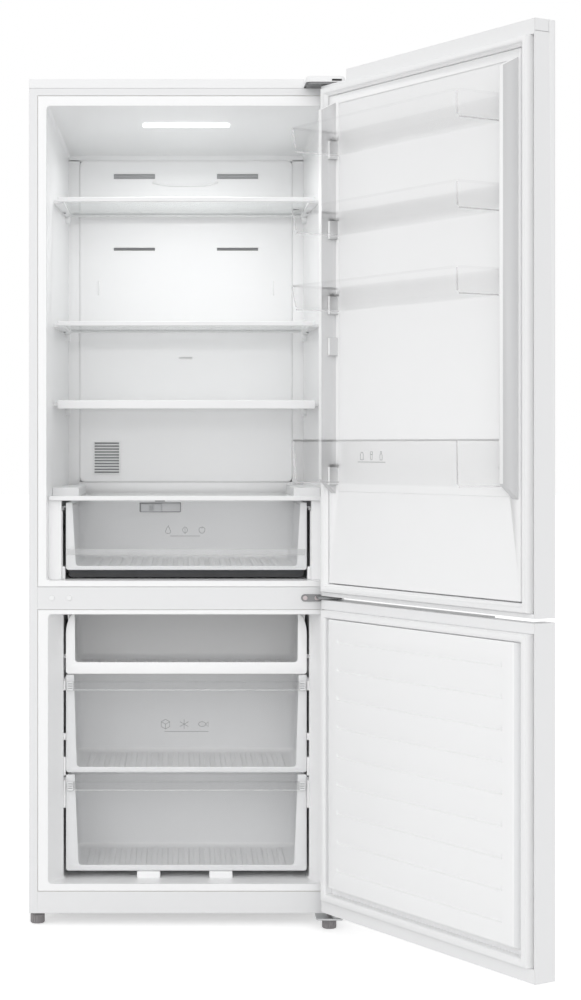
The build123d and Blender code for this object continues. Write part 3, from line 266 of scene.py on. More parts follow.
# colour, darker shade, roughness, its spread, cloud scale, grain scale, bump strength,
# bump depth in mm, coat, edge radius in mm
opaqueSet = {
    "outer_sheet": ((0.83, 0.833, 0.839), (0.815, 0.818, 0.825), 0.36, 0.04, 2, 620, 0.06, 0.2, 0.15, 1.2),
    "door_sheet": ((0.86, 0.863, 0.869), (0.845, 0.848, 0.855), 0.34, 0.04, 2, 620, 0.06, 0.2, 0.2, 1.2),
    "back_sheet": ((0.60, 0.61, 0.62), (0.50, 0.51, 0.53), 0.5, 0.2, 40, 800, 0.2, 0.3, 0, 1),
    "white_liner": ((0.953, 0.955, 0.958), (0.944, 0.946, 0.95), 0.34, 0.03, 2.5, 420, 0.05, 0.2, 0.1, 3),
    "white_trim": ((0.89, 0.892, 0.896), (0.875, 0.878, 0.884), 0.34, 0.04, 6, 900, 0.06, 0.2, 0.1, 1.5),
    "drawer_white": ((0.86, 0.865, 0.872), (0.84, 0.846, 0.855), 0.36, 0.04, 4, 700, 0.06, 0.2, 0.1, 2),
    # a lighter white, used as painted light on the drawer floors' up-facing faces, on the air lip and on the
    # duct wings
    "paintedLightWhite": ((0.965, 0.967, 0.97), (0.955, 0.957, 0.96), 0.34, 0.04, 4, 700, 0.05, 0.2, 0.1, 2),
    "trayWhite": ((0.965, 0.967, 0.97), (0.955, 0.957, 0.96), 0.36, 0.04, 4, 700, 0.06, 0.2, 0.1, 2),
    "grey_trim": ((0.42, 0.43, 0.44), (0.37, 0.375, 0.385), 0.45, 0.10, 12, 1100, 0.2, 0.3, 0, 1),
    # grey used as painted shade on the door ridges' sides and down-facing faces
    "ridgePaintedShade": ((0.67, 0.672, 0.677), (0.65, 0.653, 0.66), 0.36, 0.03, 2.5, 420, 0.05, 0.2, 0.1, 3),
    # frosted grey, also used as painted shade in the vent slots and the clip grooves
    "frostedGreyAndShade": ((0.46, 0.465, 0.475), (0.42, 0.425, 0.435), 0.40, 0.08, 14, 1000, 0.1, 0.2, 0.1, 0.6),
    "housingGrey": ((0.21, 0.214, 0.22), (0.19, 0.193, 0.2), 0.45, 0.08, 14, 1000, 0.1, 0.2, 0, 0.6),
    # printed grey, also used as painted shade in the lower vent slots
    "printedGreyAndShade": ((0.30, 0.305, 0.31), (0.27, 0.275, 0.28), 0.5, 0.08, 30, 1200, 0.1, 0.2, 0, 0),
    "footGrey": ((0.30, 0.285, 0.29), (0.25, 0.24, 0.245), 0.5, 0.12, 40, 1300, 0.3, 0.3, 0, 0.6),
    "dark_plastic": ((0.085, 0.087, 0.092), (0.055, 0.057, 0.06), 0.55, 0.15, 20, 1400, 0.4, 0.4, 0, 0.8),
    "seal": ((0.93, 0.932, 0.936), (0.91, 0.912, 0.916), 0.6, 0.08, 10, 900, 0.2, 0.3, 0, 2),
    "foam": ((0.84, 0.76, 0.52), (0.72, 0.62, 0.38), 0.85, 0.1, 60, 500, 0.6, 1, 0, 2),
    "machine_steel": ((0.22, 0.225, 0.235), (0.16, 0.165, 0.17), 0.45, 0.15, 20, 900, 0.2, 0.3, 0, 1),
    "compressor_paint": ((0.035, 0.035, 0.038), (0.02, 0.02, 0.022), 0.38, 0.15, 20, 500, 0.25, 0.4, 0.2, 1),
    "lamp": ((0.92, 0.93, 0.93), (0.9, 0.91, 0.91), 0.35, 0.05, 20, 900, 0.05, 0.2, 0.1, 0),
}
coatRoughness = 0.15
lampGlow = 1.2
metalSet = {
    "bare_aluminium": ((0.76, 0.77, 0.78), (0.62, 0.63, 0.64), 0.34),
    "hinge_steel": ((0.56, 0.565, 0.57), (0.40, 0.405, 0.41), 0.36),
    "darkSteel": ((0.29, 0.292, 0.296), (0.21, 0.212, 0.216), 0.42),
    "screw_steel": ((0.62, 0.505, 0.51), (0.34, 0.345, 0.35), 0.32),
}
metalRelief = (0.15, 0.2, 0.8)       # bump strength, bump depth and edge radius in mm
# colour, darker shade, roughness, cover seen square on, cover seen edge on, how sharply it grows
clearSet = {
    "clear_glass": ((0.86, 0.895, 0.885), (0.84, 0.88, 0.87), 0.04, 0.10, 0.60, 3.0),
    "coverGlass": ((0.96, 0.968, 0.966), (0.95, 0.958, 0.956), 0.05, 0.12, 0.95, 5.0),
    "clear_plastic": ((0.88, 0.885, 0.89), (0.86, 0.865, 0.87), 0.10, 0.04, 0.40, 2.6),
    "binClear": ((0.97, 0.972, 0.975), (0.96, 0.962, 0.965), 0.08, 0.012, 0.05, 3.0),
    "edgeClear": ((0.86, 0.863, 0.867), (0.83, 0.833, 0.838), 0.12, 0.34, 0.60, 1.6),
    "frostedClear": ((0.90, 0.905, 0.91), (0.88, 0.885, 0.89), 0.20, 0.16, 0.60, 2.0),
    "shadedClear": ((0.42, 0.425, 0.43), (0.38, 0.385, 0.39), 0.15, 0.07, 0.30, 2.0),
}
clearWear = {"Spread": 0.03, "Scale": 9.0}


def wearSurface(tree, shader, group, colour, shade, roughness, **values):
    surface = tree.nodes.new("ShaderNodeGroup")
    surface.node_tree = group
    values.update({"Colour": (*colour, 1), "Shade": (*shade, 1), "Roughness": roughness})
    setInputs(surface, values)
    tree.links.new(surface.outputs["Colour"], shader.inputs["Base Color"])
    tree.links.new(surface.outputs["Roughness"], shader.inputs["Roughness"])
    return surface.outputs["Height"]


def roundedNormal(tree, shader, height, strength, depth, radius):
    relief = tree.nodes.new("ShaderNodeBump")
    setInputs(relief, {"Strength": strength, "Distance": depth / 1000})
    tree.links.new(height, relief.inputs["Height"])
    if radius:
        edge = tree.nodes.new("ShaderNodeBevel")
        edge.samples = 4
        setInputs(edge, {"Radius": radius / 1000})
        tree.links.new(edge.outputs["Normal"], relief.inputs["Normal"])
    tree.links.new(relief.outputs["Normal"], shader.inputs["Normal"])


def opaque(name, moulded, colour, shade, roughness, spread, scale, grain, bump, depth, coat, radius):
    material, tree, shader = newMaterial(name)
    height = wearSurface(tree, shader, moulded, colour, shade, roughness,
                         Spread=spread, Scale=scale, Grain=grain)
    roundedNormal(tree, shader, height, bump, depth, radius)
    setInputs(shader, {"Coat Weight": coat, "Coat Roughness": coatRoughness})
    return material


def metal(name, brushed, colour, shade, roughness):
    material, tree, shader = newMaterial(name)
    height = wearSurface(tree, shader, brushed, colour, shade, roughness)
    setInputs(shader, {"Metallic": 1.0})
    roundedNormal(tree, shader, height, *metalRelief)
    return material


def clear(name, moulded, colour, shade, roughness, square, edgeOn, power):
    material, tree, shader = newMaterial(name)
    wearSurface(tree, shader, moulded, colour, shade, roughness, **clearWear)
    weight = tree.nodes.new("ShaderNodeLayerWeight")
    grown = mathNode(tree, "POWER", weight.outputs["Facing"], power)
    grown = mathNode(tree, "MULTIPLY", grown, edgeOn - square)
    tree.links.new(mathNode(tree, "ADD", grown, square), shader.inputs["Alpha"])
    return material


def buildFinishes():
    moulded = buildMouldedSurface()
    brushed = buildBrushedLines()
    finishes = {}
    for name, values in opaqueSet.items():
        finishes[name] = opaque(name, moulded, *values)
    for name, values in metalSet.items():
        finishes[name] = metal(name, brushed, *values)
    for name, values in clearSet.items():
        finishes[name] = clear(name, moulded, *values)
    shader = finishes["lamp"].node_tree.nodes["Principled BSDF"]
    setInputs(shader, {"Emission Color": (1, 1, 1, 1), "Emission Strength": lampGlow})
    return finishes


# nodes whose finish isn't their slot's plain one
nodeFinish = {
    "left_foot": "footGrey", "right_foot": "footGrey",
    "middle_hinge": "darkSteel", "top_hinge": "darkSteel",
    "return_grille": "white_liner", "screw_caps": "white_trim",
    "crisper_cover_glass": "coverGlass",
}


def dressNodes(finishes):
    slots = {entry["node"]: entry["material_slot"] for entry in frame["record"]["subparts"]}
    for name, node in nodes.items():
        node.data.materials.clear()
        node.data.materials.append(finishes[nodeFinish.get(name, slots[name])])


# modelling: pieces are drawn in millimetres about the middle of the cabinet's front, doors
# shut, and settle() scales them and puts them in the frame
def startBlock(name, low, high):
    clearSelection()
    bpy.ops.mesh.primitive_cube_add(size=1, location=[(a + b) / 2 for a, b in zip(low, high)])
    piece = bpy.context.object
    piece.name = name
    piece.scale = [b - a for a, b in zip(low, high)]
    bpy.ops.object.transform_apply(location=True, rotation=True, scale=True)
    return piece


def startRod(name, start, end, radius, vertices):
    clearSelection()
    start, end = Vector(start), Vector(end)
    turn = (end - start).to_track_quat("Z", "Y").to_euler()
    bpy.ops.mesh.primitive_cylinder_add(vertices=vertices, radius=radius, depth=(end - start).length,
                                        location=(start + end) / 2, rotation=turn)
    piece = bpy.context.object
    piece.name = name
    bpy.ops.object.transform_apply(location=True, rotation=True, scale=True)
    return piece


def drawLine(name, points, thickness, resolution, smooth, closed):
    curve = bpy.data.curves.new(name, "CURVE")
    curve.dimensions = "3D"
    curve.bevel_depth = thickness
    curve.bevel_resolution = resolution
    curve.use_fill_caps = not closed
    spline = curve.splines.new("NURBS" if smooth else "POLY")
    spline.points.add(len(points) - 1)
    for point, place in zip(spline.points, points):
        point.co = (*place, 1)
    if smooth:
        spline.order_u = 3
        spline.use_endpoint_u = not closed
    spline.use_cyclic_u = closed
    line = bpy.data.objects.new(name, curve)
    bpy.context.collection.objects.link(line)
    choose(line)
    bpy.ops.object.convert(target="MESH")
    return bpy.context.object


def pick(piece, kind, test):
    choose(piece)
    switch("EDIT")
    bpy.ops.mesh.select_mode(type=kind)
    bpy.ops.mesh.select_all(action="DESELECT")
    mesh = bmesh.from_edit_mesh(piece.data)
    mesh.normal_update()
    parts = {"FACE": mesh.faces, "EDGE": mesh.edges, "VERT": mesh.verts}[kind]
    for part in parts:
        if test(part):
            part.select_set(True)
    mesh.select_flush_mode()
    bmesh.update_edit_mesh(piece.data)


def middle(edge):
    return (edge.verts[0].co + edge.verts[1].co) / 2


# tests for picking: edges along an axis between two heights, and corners within 1 mm of levels
def along(axis, lowest=-math.inf, highest=math.inf):
    def isAlong(edge):
        way = (edge.verts[1].co - edge.verts[0].co).normalized()
        return abs(way[axis]) > 0.99 and lowest < middle(edge).z < highest

    return isAlong


def near(**levels):
    return lambda vert: all(abs(getattr(vert.co, axis) - level) < 1 for axis, level in levels.items())


def roundEdges(piece, width, segments, test):
    pick(piece, "EDGE", test)
    bpy.ops.mesh.bevel(offset=width, segments=segments, affect="EDGES", clamp_overlap=True)
    switch("OBJECT")


def pull(piece, way, test):
    pick(piece, "VERT", test)
    bpy.ops.transform.translate(value=way)
    switch("OBJECT")


def squeeze(piece, factors, centre, test):
    pick(piece, "VERT", test)
    bpy.ops.transform.resize(value=factors, center_override=centre)
    switch("OBJECT")


def openFaces(piece, test):
    pick(piece, "FACE", test)
    bpy.ops.mesh.delete(type="FACE")
    switch("OBJECT")


def addModifier(piece, kind, **values):
    choose(piece)
    modifier = piece.modifiers.new("shape", kind)
    setAll(modifier, values)
    bpy.ops.object.modifier_apply(modifier="shape")


def soften(piece, width, segments=2):
    addModifier(piece, "BEVEL", width=width, segments=segments, limit_method="ANGLE",
                angle_limit=math.radians(35), use_clamp_overlap=True, harden_normals=False)


def softBlock(name, low, high, width, segments=2):
    piece = startBlock(name, low, high)
    soften(piece, width, segments)
    return piece


def spanBlock(name, x0, x1, y0, y1, z0, z1, width=0, segments=2):
    piece = startBlock(name, (x0, y0, z0), (x1, y1, z1))
    if width:
        soften(piece, width, segments)
    return piece


def thicken(piece, wall):
    addModifier(piece, "SOLIDIFY", thickness=wall, offset=-1, use_even_offset=True)


def cutAway(piece, *cutters):
    for cutter in cutters:
        addModifier(piece, "BOOLEAN", object=cutter, operation="DIFFERENCE", solver="EXACT")
        bpy.data.objects.remove(cutter)


def weld(piece, other):
    addModifier(piece, "BOOLEAN", object=other, operation="UNION", solver="EXACT")
    bpy.data.objects.remove(other)


def joinPieces(name, *pieces):
    choose(*pieces)
    bpy.ops.object.join()
    piece = bpy.context.object
    piece.name = name
    return piece


def withTwin(piece):
    clearSelection()
    twin = piece.copy()
    twin.data = piece.data.copy()
    bpy.context.collection.objects.link(twin)
    twin.data.transform(Matrix.Scale(-1, 4, (1, 0, 0)))
    choose(twin)
    switch("EDIT")
    bpy.ops.mesh.select_all(action="SELECT")
    bpy.ops.mesh.flip_normals()
    switch("OBJECT")
    return joinPieces(piece.name, twin, piece)


def about(point, change):
    shift = Matrix.Translation(point)
    return shift @ change @ shift.inverted()


def placing(body):
    place = Matrix.Translation(layout["middle"]) @ Matrix.Scale(0.001, 4)
    if body.endswith("door") or body.startswith("bin"):
        x, y = (1000 * value for value in layout["hinge"])
        place = place @ about((x, y, 0), Matrix.Rotation(math.radians(layout["openAngle"]), 4, "Z"))
    return place


def copyDoorNode(node, name):
    clearSelection()
    piece = bpy.data.objects.new(name, nodes[node].data.copy())
    bpy.context.collection.objects.link(piece)
    piece.data.transform(placing("upper_door").inverted())
    choose(piece)
    switch("EDIT")
    bpy.ops.mesh.select_all(action="SELECT")
    bpy.ops.mesh.remove_doubles(threshold=0.01)
    bpy.ops.mesh.dissolve_limited(angle_limit=math.radians(1))
    switch("OBJECT")
    return piece


def settle(piece, body="cabinet", slot="white_liner", *replaced, finish=None, smooth=30, second=None):
    choose(piece)
    switch("EDIT")
    bpy.ops.mesh.select_all(action="SELECT")
    bpy.ops.mesh.remove_doubles(threshold=0.001)
    bpy.ops.mesh.normals_make_consistent(inside=False)
    switch("OBJECT")
    bpy.ops.object.shade_smooth_by_angle(angle=math.radians(smooth))
    piece.data.materials.clear()
    piece.data.materials.append(finishes[finish or slot])
    if second:
        other, test = second
        piece.data.materials.append(finishes[other])
        for face in piece.data.polygons:
            if test(face.center, face.normal):
                face.material_index = 1
    piece.data.transform(placing(body))
    piece.data.update()
    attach(piece, body)
    if replaced:
        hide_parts(*replaced)


# drawers
drawerSet = {
    "wall": 2.5, "corner": 18,
    "panelFront": 62, "panelBack": 65.9, "panelDrop": 0.3, "panelCorner": 6, "panelEdge": 0.7,
    "halfWidth": 271.6,
    "ribPitch": 24.5, "ribWidth": 14, "ribSink": 1, "ribRound": 0.95, "ribRoundMost": 5,
    "ribs": (20, 34, 3.6),           # how far they stay from the sides and from the back, height
    "ribHalf": 241.6,
    # faces in this zone that look up take the lighter white as painted light
    "paintedLightZone": (0.2, 14, 16, 46.1),  # how far up faces look, height, width beyond, nearest to the front
    "mouthOuter": 6, "mouthInner": 7, "mouthEdge": 0.7,
    "lip": (52, 15, 35),             # front of the pull lip, and its drops below the panel's top
    "lipInset": 16, "lipThickness": 2.4, "lipEdge": 0.6, "lipShelf": 2.5, "lipFoot": 2.6,
    "lipBead": (0.8, 3), "shelfGap": (0.5, 0.1),
    "rails": (276.7, 72, 14),        # half width, front, distance from the back
    "railLap": 5, "railHeight": 3, "railEdge": 0.6,
    "clipDrop": 12, "clip": (17, 3, 24, 4), "clipThickness": 2.6,
    "clipGrooves": (3, 20, 5, 2, 1.6, 2, 4), "clipEdge": 0.4,
}
# body: the tub's half width at the floor and at the top, front, back, bottom and top; the mouth's half
# width inside at the top and at the sill, bottom, top, sill, depth, half width and the tray's shoulders;
# where the ribs start, and the height of the rails
tubSet = {
    "bottom_drawer": ((260.6, 267.6, 69, 330, 107.3, 325),
                      (252, 243, 107.3, 324, 13, (66.1, 69.5), 271.6), 69, 315),
    "middle_drawer": ((260.6, 267.6, 69, 357, 329.3, 550.5),
                      (254, 247, 329.3, 549.5, 12, (66.1, 69.5), 271.6), 69, 539.5),
    "tray": ((260.6, 267.6, 65.1, 357, 551.8, 686),
             (251.6, 250.6, 551.8, 686, 26.5, (62.2, 65.6), 271.6, (19, 2.4)), 65.6, 592),
    "crisper": ((259, 266, 46.5, 425, 789, 939.1),
                (256.5, 248, 787.5, 938.6, 9, (44.1, 47), 270.5), 46.5, 927.1),
}


def makeTub(name, halfLow, halfHigh, front, back, low, high):
    tub = startBlock(name, (-halfHigh, front, low), (halfHigh, back, high))
    squeeze(tub, (halfLow / halfHigh, 1, 1), (0, 0, low), near(z=low))
    pull(tub, (0, halfLow - halfHigh, 0), near(z=low, y=back))
    openFaces(tub, lambda face: face.normal.z > 0.9 or face.normal.y < -0.9)

    def atCorner(edge):
        x, y, z = middle(edge)
        upright = low + 1 < z < high - 1 and abs(x) > halfLow - 1 and not along(0)(edge)
        return y > front + 1 and (z < low + 1 or upright)

    roundEdges(tub, drawerSet["corner"], 5, atCorner)
    thicken(tub, drawerSet["wall"])
    return tub


def layRibs(halfWidth, front, back, floor, rise):
    pitch, half = drawerSet["ribPitch"], drawerSet["ribWidth"] / 2
    count = int(2 * halfWidth // pitch)
    start = -(count - 1) * pitch / 2
    foot = floor - drawerSet["ribSink"]
    rib = startBlock("rib", (start - half, front, foot), (start + half, back, floor + rise))
    roundEdges(rib, min(rise, drawerSet["ribRoundMost"]) * drawerSet["ribRound"], 4, along(1, floor))
    addModifier(rib, "ARRAY", count=count, use_relative_offset=False, use_constant_offset=True,
                constant_offset_displace=(pitch, 0, 0))
    return rib


# faces on a drawer's floor and ribs that look up, which get the lighter white as painted light
def litUpFaces(low, half):
    up, height, beyond, nearest = drawerSet["paintedLightZone"]

    def isLitUpFace(centre, normal):
        inside = abs(centre.x) < half + beyond and centre.y > nearest
        return normal.z > up and centre.z < low + height and inside

    return isLitUpFace


def makeMouth(halfTop, halfLow, low, high, sill, depth, half, top=None):
    front, back = depth
    mouth = startBlock("mouth", (-half, front, low), (half, back, high))
    roundEdges(mouth, drawerSet["mouthOuter"], 4, along(1, highest=low + 1))
    if top:
        width, stretch = top
        roundEdges(mouth, width, 8, along(1, high - 1))
        squeeze(mouth, (1, 1, stretch), (0, 0, high), lambda vert: vert.co.z > high - width - 0.5)
    hole = startBlock("mouthHole", (-halfTop, front - 5, low + sill), (halfTop, back + 5, high + 10))
    squeeze(hole, (halfLow / halfTop, 1, 1), (0, 0, low), near(z=low + sill))
    roundEdges(hole, drawerSet["mouthInner"], 5, along(1, highest=low + sill + 1))
    cutAway(mouth, hole)
    soften(mouth, drawerSet["mouthEdge"])
    return mouth


def makeDrawer(name, body, values):
    size, opening, ribFront, railLow = tubSet[body]
    halfLow, halfHigh, back, low = (size[place] for place in (0, 1, 3, 4))
    inset, end, rise = values["ribs"]
    tub = makeTub(name, *size)
    ribs = layRibs(halfLow - inset, ribFront, back - end, low + drawerSet["wall"], rise)
    mouth = makeMouth(*opening)
    reach, front, end = values["rails"]
    rail = softBlock("railFlange", (halfHigh - drawerSet["railLap"], front, railLow),
                     (reach, back - end, railLow + drawerSet["railHeight"]), drawerSet["railEdge"], 1)
    return joinPieces(name, ribs, mouth, withTwin(rail), tub)


def clipPair(half, top, depth):
    outer, inner, lower, upper = drawerSet["clip"]
    count, start, step, height, sunk, end, past = drawerSet["clipGrooves"]
    clip = startBlock("cornerClip", (half - outer, depth - drawerSet["clipThickness"], top - lower),
                      (half - inner, depth, top - upper))
    for row in range(count):
        low = top - start + row * step
        cutAway(clip, startBlock("clipGroove", (half - outer + end, depth - past, low),
                                 (half - inner - end, depth - sunk, low + height)))
    soften(clip, drawerSet["clipEdge"], 1)
    return withTwin(clip)


def makeFrontPanel(name, half, low, high, front, back):
    panel = startBlock(name, (-half, front, low), (half, back, high))
    roundEdges(panel, drawerSet["panelCorner"], 5, along(1))
    soften(panel, drawerSet["panelEdge"])
    return panel


def makePullLip(name, half, high):
    values = drawerSet
    front, upper, lower = values["lip"]
    reach, thickness = half - values["lipInset"], values["lipThickness"]
    foot, top = high - lower, high - upper
    (ahead, behind), (gap, clearance) = values["lipBead"], values["shelfGap"]
    bar = startBlock(name, (-reach, front, foot), (reach, front + thickness, top))
    weld(bar, startBlock("lipBead", (-reach, front - ahead, foot), (reach, front + behind, foot + thickness)))
    weld(bar, startBlock("pullShelf", (-reach, front + gap, top - values["lipShelf"]),
                         (reach, values["panelFront"] - clearance, top)))
    soften(bar, values["lipEdge"])
    return bar


def buildFreezerDrawers():
    values = drawerSet
    half, face = values["halfWidth"], values["panelFront"]
    for body in ("bottom_drawer", "middle_drawer"):
        low, high = tubSet[body][0][-2:]
        settle(makeDrawer(body + "Tub", body, values), body, "drawer_white", body + "_body",
               second=("paintedLightWhite", litUpFaces(low, values["ribHalf"])))
        # the clip grooves' inner faces take the frosted grey as painted shade
        clips = clipPair(half, high - values["clipDrop"], face)
        settle(clips, body, "drawer_white",
               second=("frostedGreyAndShade", lambda centre, normal: centre.y > face - 2))
        clips.name = body + "Clips"
        bottom = low - values["panelDrop"]
        panel = makeFrontPanel(body + "Panel", half, bottom, high, face, values["panelBack"])
        lip = makePullLip(body + "Lip", half, high)
        settle(panel, body, "clear_plastic", body + "_front")
        edge = high - values["lip"][2] + values["lipFoot"]
        settle(lip, body, "clear_plastic", body + "_front", finish="shadedClear",
               second=("frostedClear", lambda centre, normal: centre.z < edge))
    tray = makeDrawer("freezerTray", "tray", values)
    settle(tray, "tray", "drawer_white", "freezer_tray", finish="trayWhite")


crisperSet = {
    "low": 787, "high": 939.1, "front": 40, "halfWidth": 271, "thickness": 4,
    "ribs": (32, 34, 6.0), "ribHalf": 228, "rails": (279.7, 59, 20),
    # blocks: left, right, front, back, bottom, top, edge width, edge segments
    "band": (-267, 267, 38.2, 39.9, 821.6, 834.7, 0.8),
    "housing": (-105, -12, 36, 39.9, 917.1, 939.1), "housingCorner": 3, "housingEdge": 0.4,
    "track": (1.8, 2.6),
    "knob": (-101.7, -55.3, 36.1, 38.4, 918.4, 935.8, 0.6),
    "gripX": (-82.5, -78.5, -74.5), "grip": (33.4, 36.5, 921.4, 932.8, 0.5), "gripHalf": 0.8,
    "shadow": (-266, 266, 75, 79, 769, 786.5), "shadowCorner": 9, "shadowEdge": 0.5,
    "jamb": (278.0, 281.5, 45, 52, 766.5, 921, 1.5, 3),
    "corner": (272.2, 280.2, 47, 74, 766.3, 795), "cornerRound": 2.5,
    "latch": (-70, -48, 33, 37, 941.4, 943.8, 0.6),
}


def buildCrisper():
    values = crisperSet
    low, high, front, half = (values[key] for key in ("low", "high", "front", "halfWidth"))
    settle(makeDrawer("crisperTub", "crisper", values), "crisper", "drawer_white", "crisper_drawer",
           second=("paintedLightWhite", litUpFaces(low, values["ribHalf"])))
    panel = makeFrontPanel("crisperPanel", half, low, high, front, front + values["thickness"])
    band = spanBlock("panelBand", *values["band"])
    settle(panel, "crisper", "clear_plastic", "crisper_drawer")
    settle(band, "crisper", "clear_plastic", finish="frostedClear")
    # humidity housing with its sunk track
    inset, sunk = values["track"]
    housing = spanBlock("humidityHousing", *values["housing"])
    roundEdges(housing, values["housingCorner"], 4, along(1, highest=values["housing"][4] + 1))
    pick(housing, "FACE", lambda face: face.normal.y < -0.9)
    bpy.ops.mesh.inset(thickness=inset)
    bpy.ops.mesh.extrude_region_move(TRANSFORM_OT_translate={"value": (0, sunk, 0)})
    switch("OBJECT")
    soften(housing, values["housingEdge"])
    settle(housing, "crisper", "grey_trim", finish="housingGrey",
           second=("frostedGreyAndShade", lambda centre, normal: centre.y > front - 2 and normal.y < -0.9))
    thin = values["gripHalf"]
    grips = [spanBlock("knobGrip", x - thin, x + thin, *values["grip"]) for x in values["gripX"]]
    knob = spanBlock("humidityKnob", *values["knob"])
    settle(joinPieces("humidityKnob", *grips, knob), "humidity_control", "grey_trim", "humidity_slider")
    # dark block under the drawer, painted shade for the shadowed gap beneath it
    channel = spanBlock("crisperGapShade", *values["shadow"])
    roundEdges(channel, values["shadowCorner"], 5, along(1, highest=values["shadow"][4] + 1))
    soften(channel, values["shadowEdge"], 1)
    settle(channel, "crisper", "dark_plastic")
    # the opening's lower corners and jambs, and the cover's latch
    block = spanBlock("openingCorner", *values["corner"])
    roundEdges(block, values["cornerRound"], 3, along(1, values["corner"][4] + 5))
    settle(withTwin(block))
    settle(withTwin(spanBlock("crisperJamb", *values["jamb"])))
    settle(spanBlock("coverLatch", *values["latch"]), "cabinet", "dark_plastic")


# door bins
binSet = {
    "halfTop": 278, "halfLow": 272.5, "back": -8, "frontLow": 112, "frontTop": 118,
    "wall": 2.2, "corner": 9, "foot": 5,
    "rim": 2.2, "rimHeight": 4.5, "rimCorner": 12, "rimEdge": 0.8,
    "hook": (272, 287, -6, 10), "hookSeat": 34, "hookHeight": 6, "hookEdge": 1.2,
    "edge": 2.0, "edgeInset": 2.01, "edgeFront": 114.39, "edgeEnds": (6, 4), "edgeRound": 0.4,
    "footGap": 0.2, "footEnds": (3, 5),
    # body: bottom and height
    "bins": {"bin_1": (1694.1, 53), "bin_2": (1520.2, 53), "bin_3": (1356.5, 53), "bin_4": (986.4, 93)},
}


def makeBinTray(name, low, high):
    values = binSet
    half, top = values["halfTop"], values["frontTop"]
    tray = startBlock(name, (-half, values["back"], low), (half, top, high))
    squeeze(tray, (values["halfLow"] / half, 1, 1), (0, 0, low), near(z=low))
    pull(tray, (0, values["frontLow"] - top, 0), near(z=low, y=top))
    openFaces(tray, lambda face: face.normal.z > 0.9)
    roundEdges(tray, values["corner"], 5, lambda edge: low + 1 < middle(edge).z < high - 1)
    roundEdges(tray, values["foot"], 3, lambda edge: middle(edge).z < low + 0.5)
    thicken(tray, values["wall"])
    return tray


def makeBinRim(high):
    values = binSet
    wall, back = values["wall"], values["back"]
    outer, inner = values["halfTop"] + values["rim"], values["halfTop"] - wall
    rim = startBlock("binRim", (-outer, back, high - values["rimHeight"]),
                     (outer, values["frontTop"] + values["rim"], high))
    roundEdges(rim, values["rimCorner"], 5, along(2))
    front = values["frontTop"] - wall
    hole = startBlock("rimHole", (-inner, back - 30, high - 20), (inner, front, high + 20))
    roundEdges(hole, values["corner"] - wall, 5, along(2))
    cutAway(rim, hole)
    soften(rim, values["rimEdge"])
    return rim


def makeBinEdges(name, low, high):
    values = binSet
    size, front, edgeRound = values["edge"], values["edgeFront"], values["edgeRound"]
    x = values["edgeInset"] - values["halfTop"]
    foot, head = values["edgeEnds"]
    upright = startBlock(name, (x, front, low + foot), (x + size, front + size, high - head))
    lean = (values["halfTop"] - values["halfLow"], values["frontLow"] - values["frontTop"], 0)
    pull(upright, lean, near(z=low + foot))
    soften(upright, edgeRound)
    half, gap = values["halfLow"], values["footGap"]
    back, front = values["footEnds"]
    floor = softBlock("footEdge", (-half - gap, values["back"] + back, low - gap),
                      (size - half, values["frontLow"] - front, low + size), edgeRound)
    return withTwin(joinPieces(name, floor, upright))


def buildDoorBins():
    x0, x1, y0, y1 = binSet["hook"]
    for index, (body, (low, height)) in enumerate(binSet["bins"].items()):
        high = low + height
        tray = makeBinTray(body + "Tray", low, high)
        rim = makeBinRim(high)
        seat = low + binSet["hookSeat"]
        hooks = withTwin(softBlock("binHook", (x0, y0, seat), (x1, y1, seat + binSet["hookHeight"]),
                                   binSet["hookEdge"]))
        settle(joinPieces(body + "Tray", rim, hooks, tray), body, "clear_plastic", f"door_bin_{index + 1}",
               finish="binClear")
        settle(makeBinEdges(body + "Edges", low, high), body, "clear_plastic", finish="edgeClear")


# pictograms, drawn as thin raised lines; each line ends with whether it is closed
iconShapes = {
    "leaf": (((0, -1), (0.62, -0.45), (0.72, 0.25), (0, 1), (-0.72, 0.25), (-0.62, -0.45), True),
             ((0, -1.15), (0, 0.55), False)),
    "apple": (((0, 0.5), (0.5, 0.75), (0.9, 0.2), (0.7, -0.6), (0.25, -0.95), (-0.25, -0.95), (-0.7, -0.6),
               (-0.9, 0.2), (-0.5, 0.75), True), ((0, 0.5), (0.1, 1.05), False)),
    "pear": (((0, 1), (0.35, 0.6), (0.45, 0.1), (0.8, -0.4), (0.5, -1), (-0.5, -1), (-0.8, -0.4),
              (-0.45, 0.1), (-0.35, 0.6), True), ((0, 0.9), (0.15, 1.3), False)),
    "flake": (((0.8660254, 0.5), (-0.8660254, -0.5), False), ((0, 1), (0, -1), False),
              ((-0.8660254, 0.5), (0.8660254, -0.5), False)),
    "fish": (((-1, 0), (-0.5, 0.5), (0.2, 0.5), (0.8, 0), (0.2, -0.5), (-0.5, -0.5), True),
             ((0.65, 0.1), (1.15, 0.5), (1.15, -0.5), (0.65, -0.1), False)),
    "cube": (((0, 1), (0.87, 0.5), (0.87, -0.5), (0, -1), (-0.87, -0.5), (-0.87, 0.5), (0, 1), False),
             ((-0.87, 0.5), (0, 0), (0.87, 0.5), False), ((0, 0), (0, -1), False)),
    "bottle": (((-0.42, -1), (0.42, -1), (0.42, 0.1), (0.16, 0.5), (0.16, 1), (-0.16, 1), (-0.16, 0.5),
                (-0.42, 0.1), (-0.42, -1), False),),
    "jar": (((-0.55, -1), (0.55, -1), (0.55, 0.35), (0.35, 0.5), (0.35, 0.8), (-0.35, 0.8), (-0.35, 0.5),
             (-0.55, 0.35), (-0.55, -1), False),),
    "glass": (((-0.4, 0.9), (-0.28, -1), (0.28, -1), (0.4, 0.9), (-0.4, 0.9), False),
              ((-0.36, 0.3), (0.36, 0.3), False)),
}
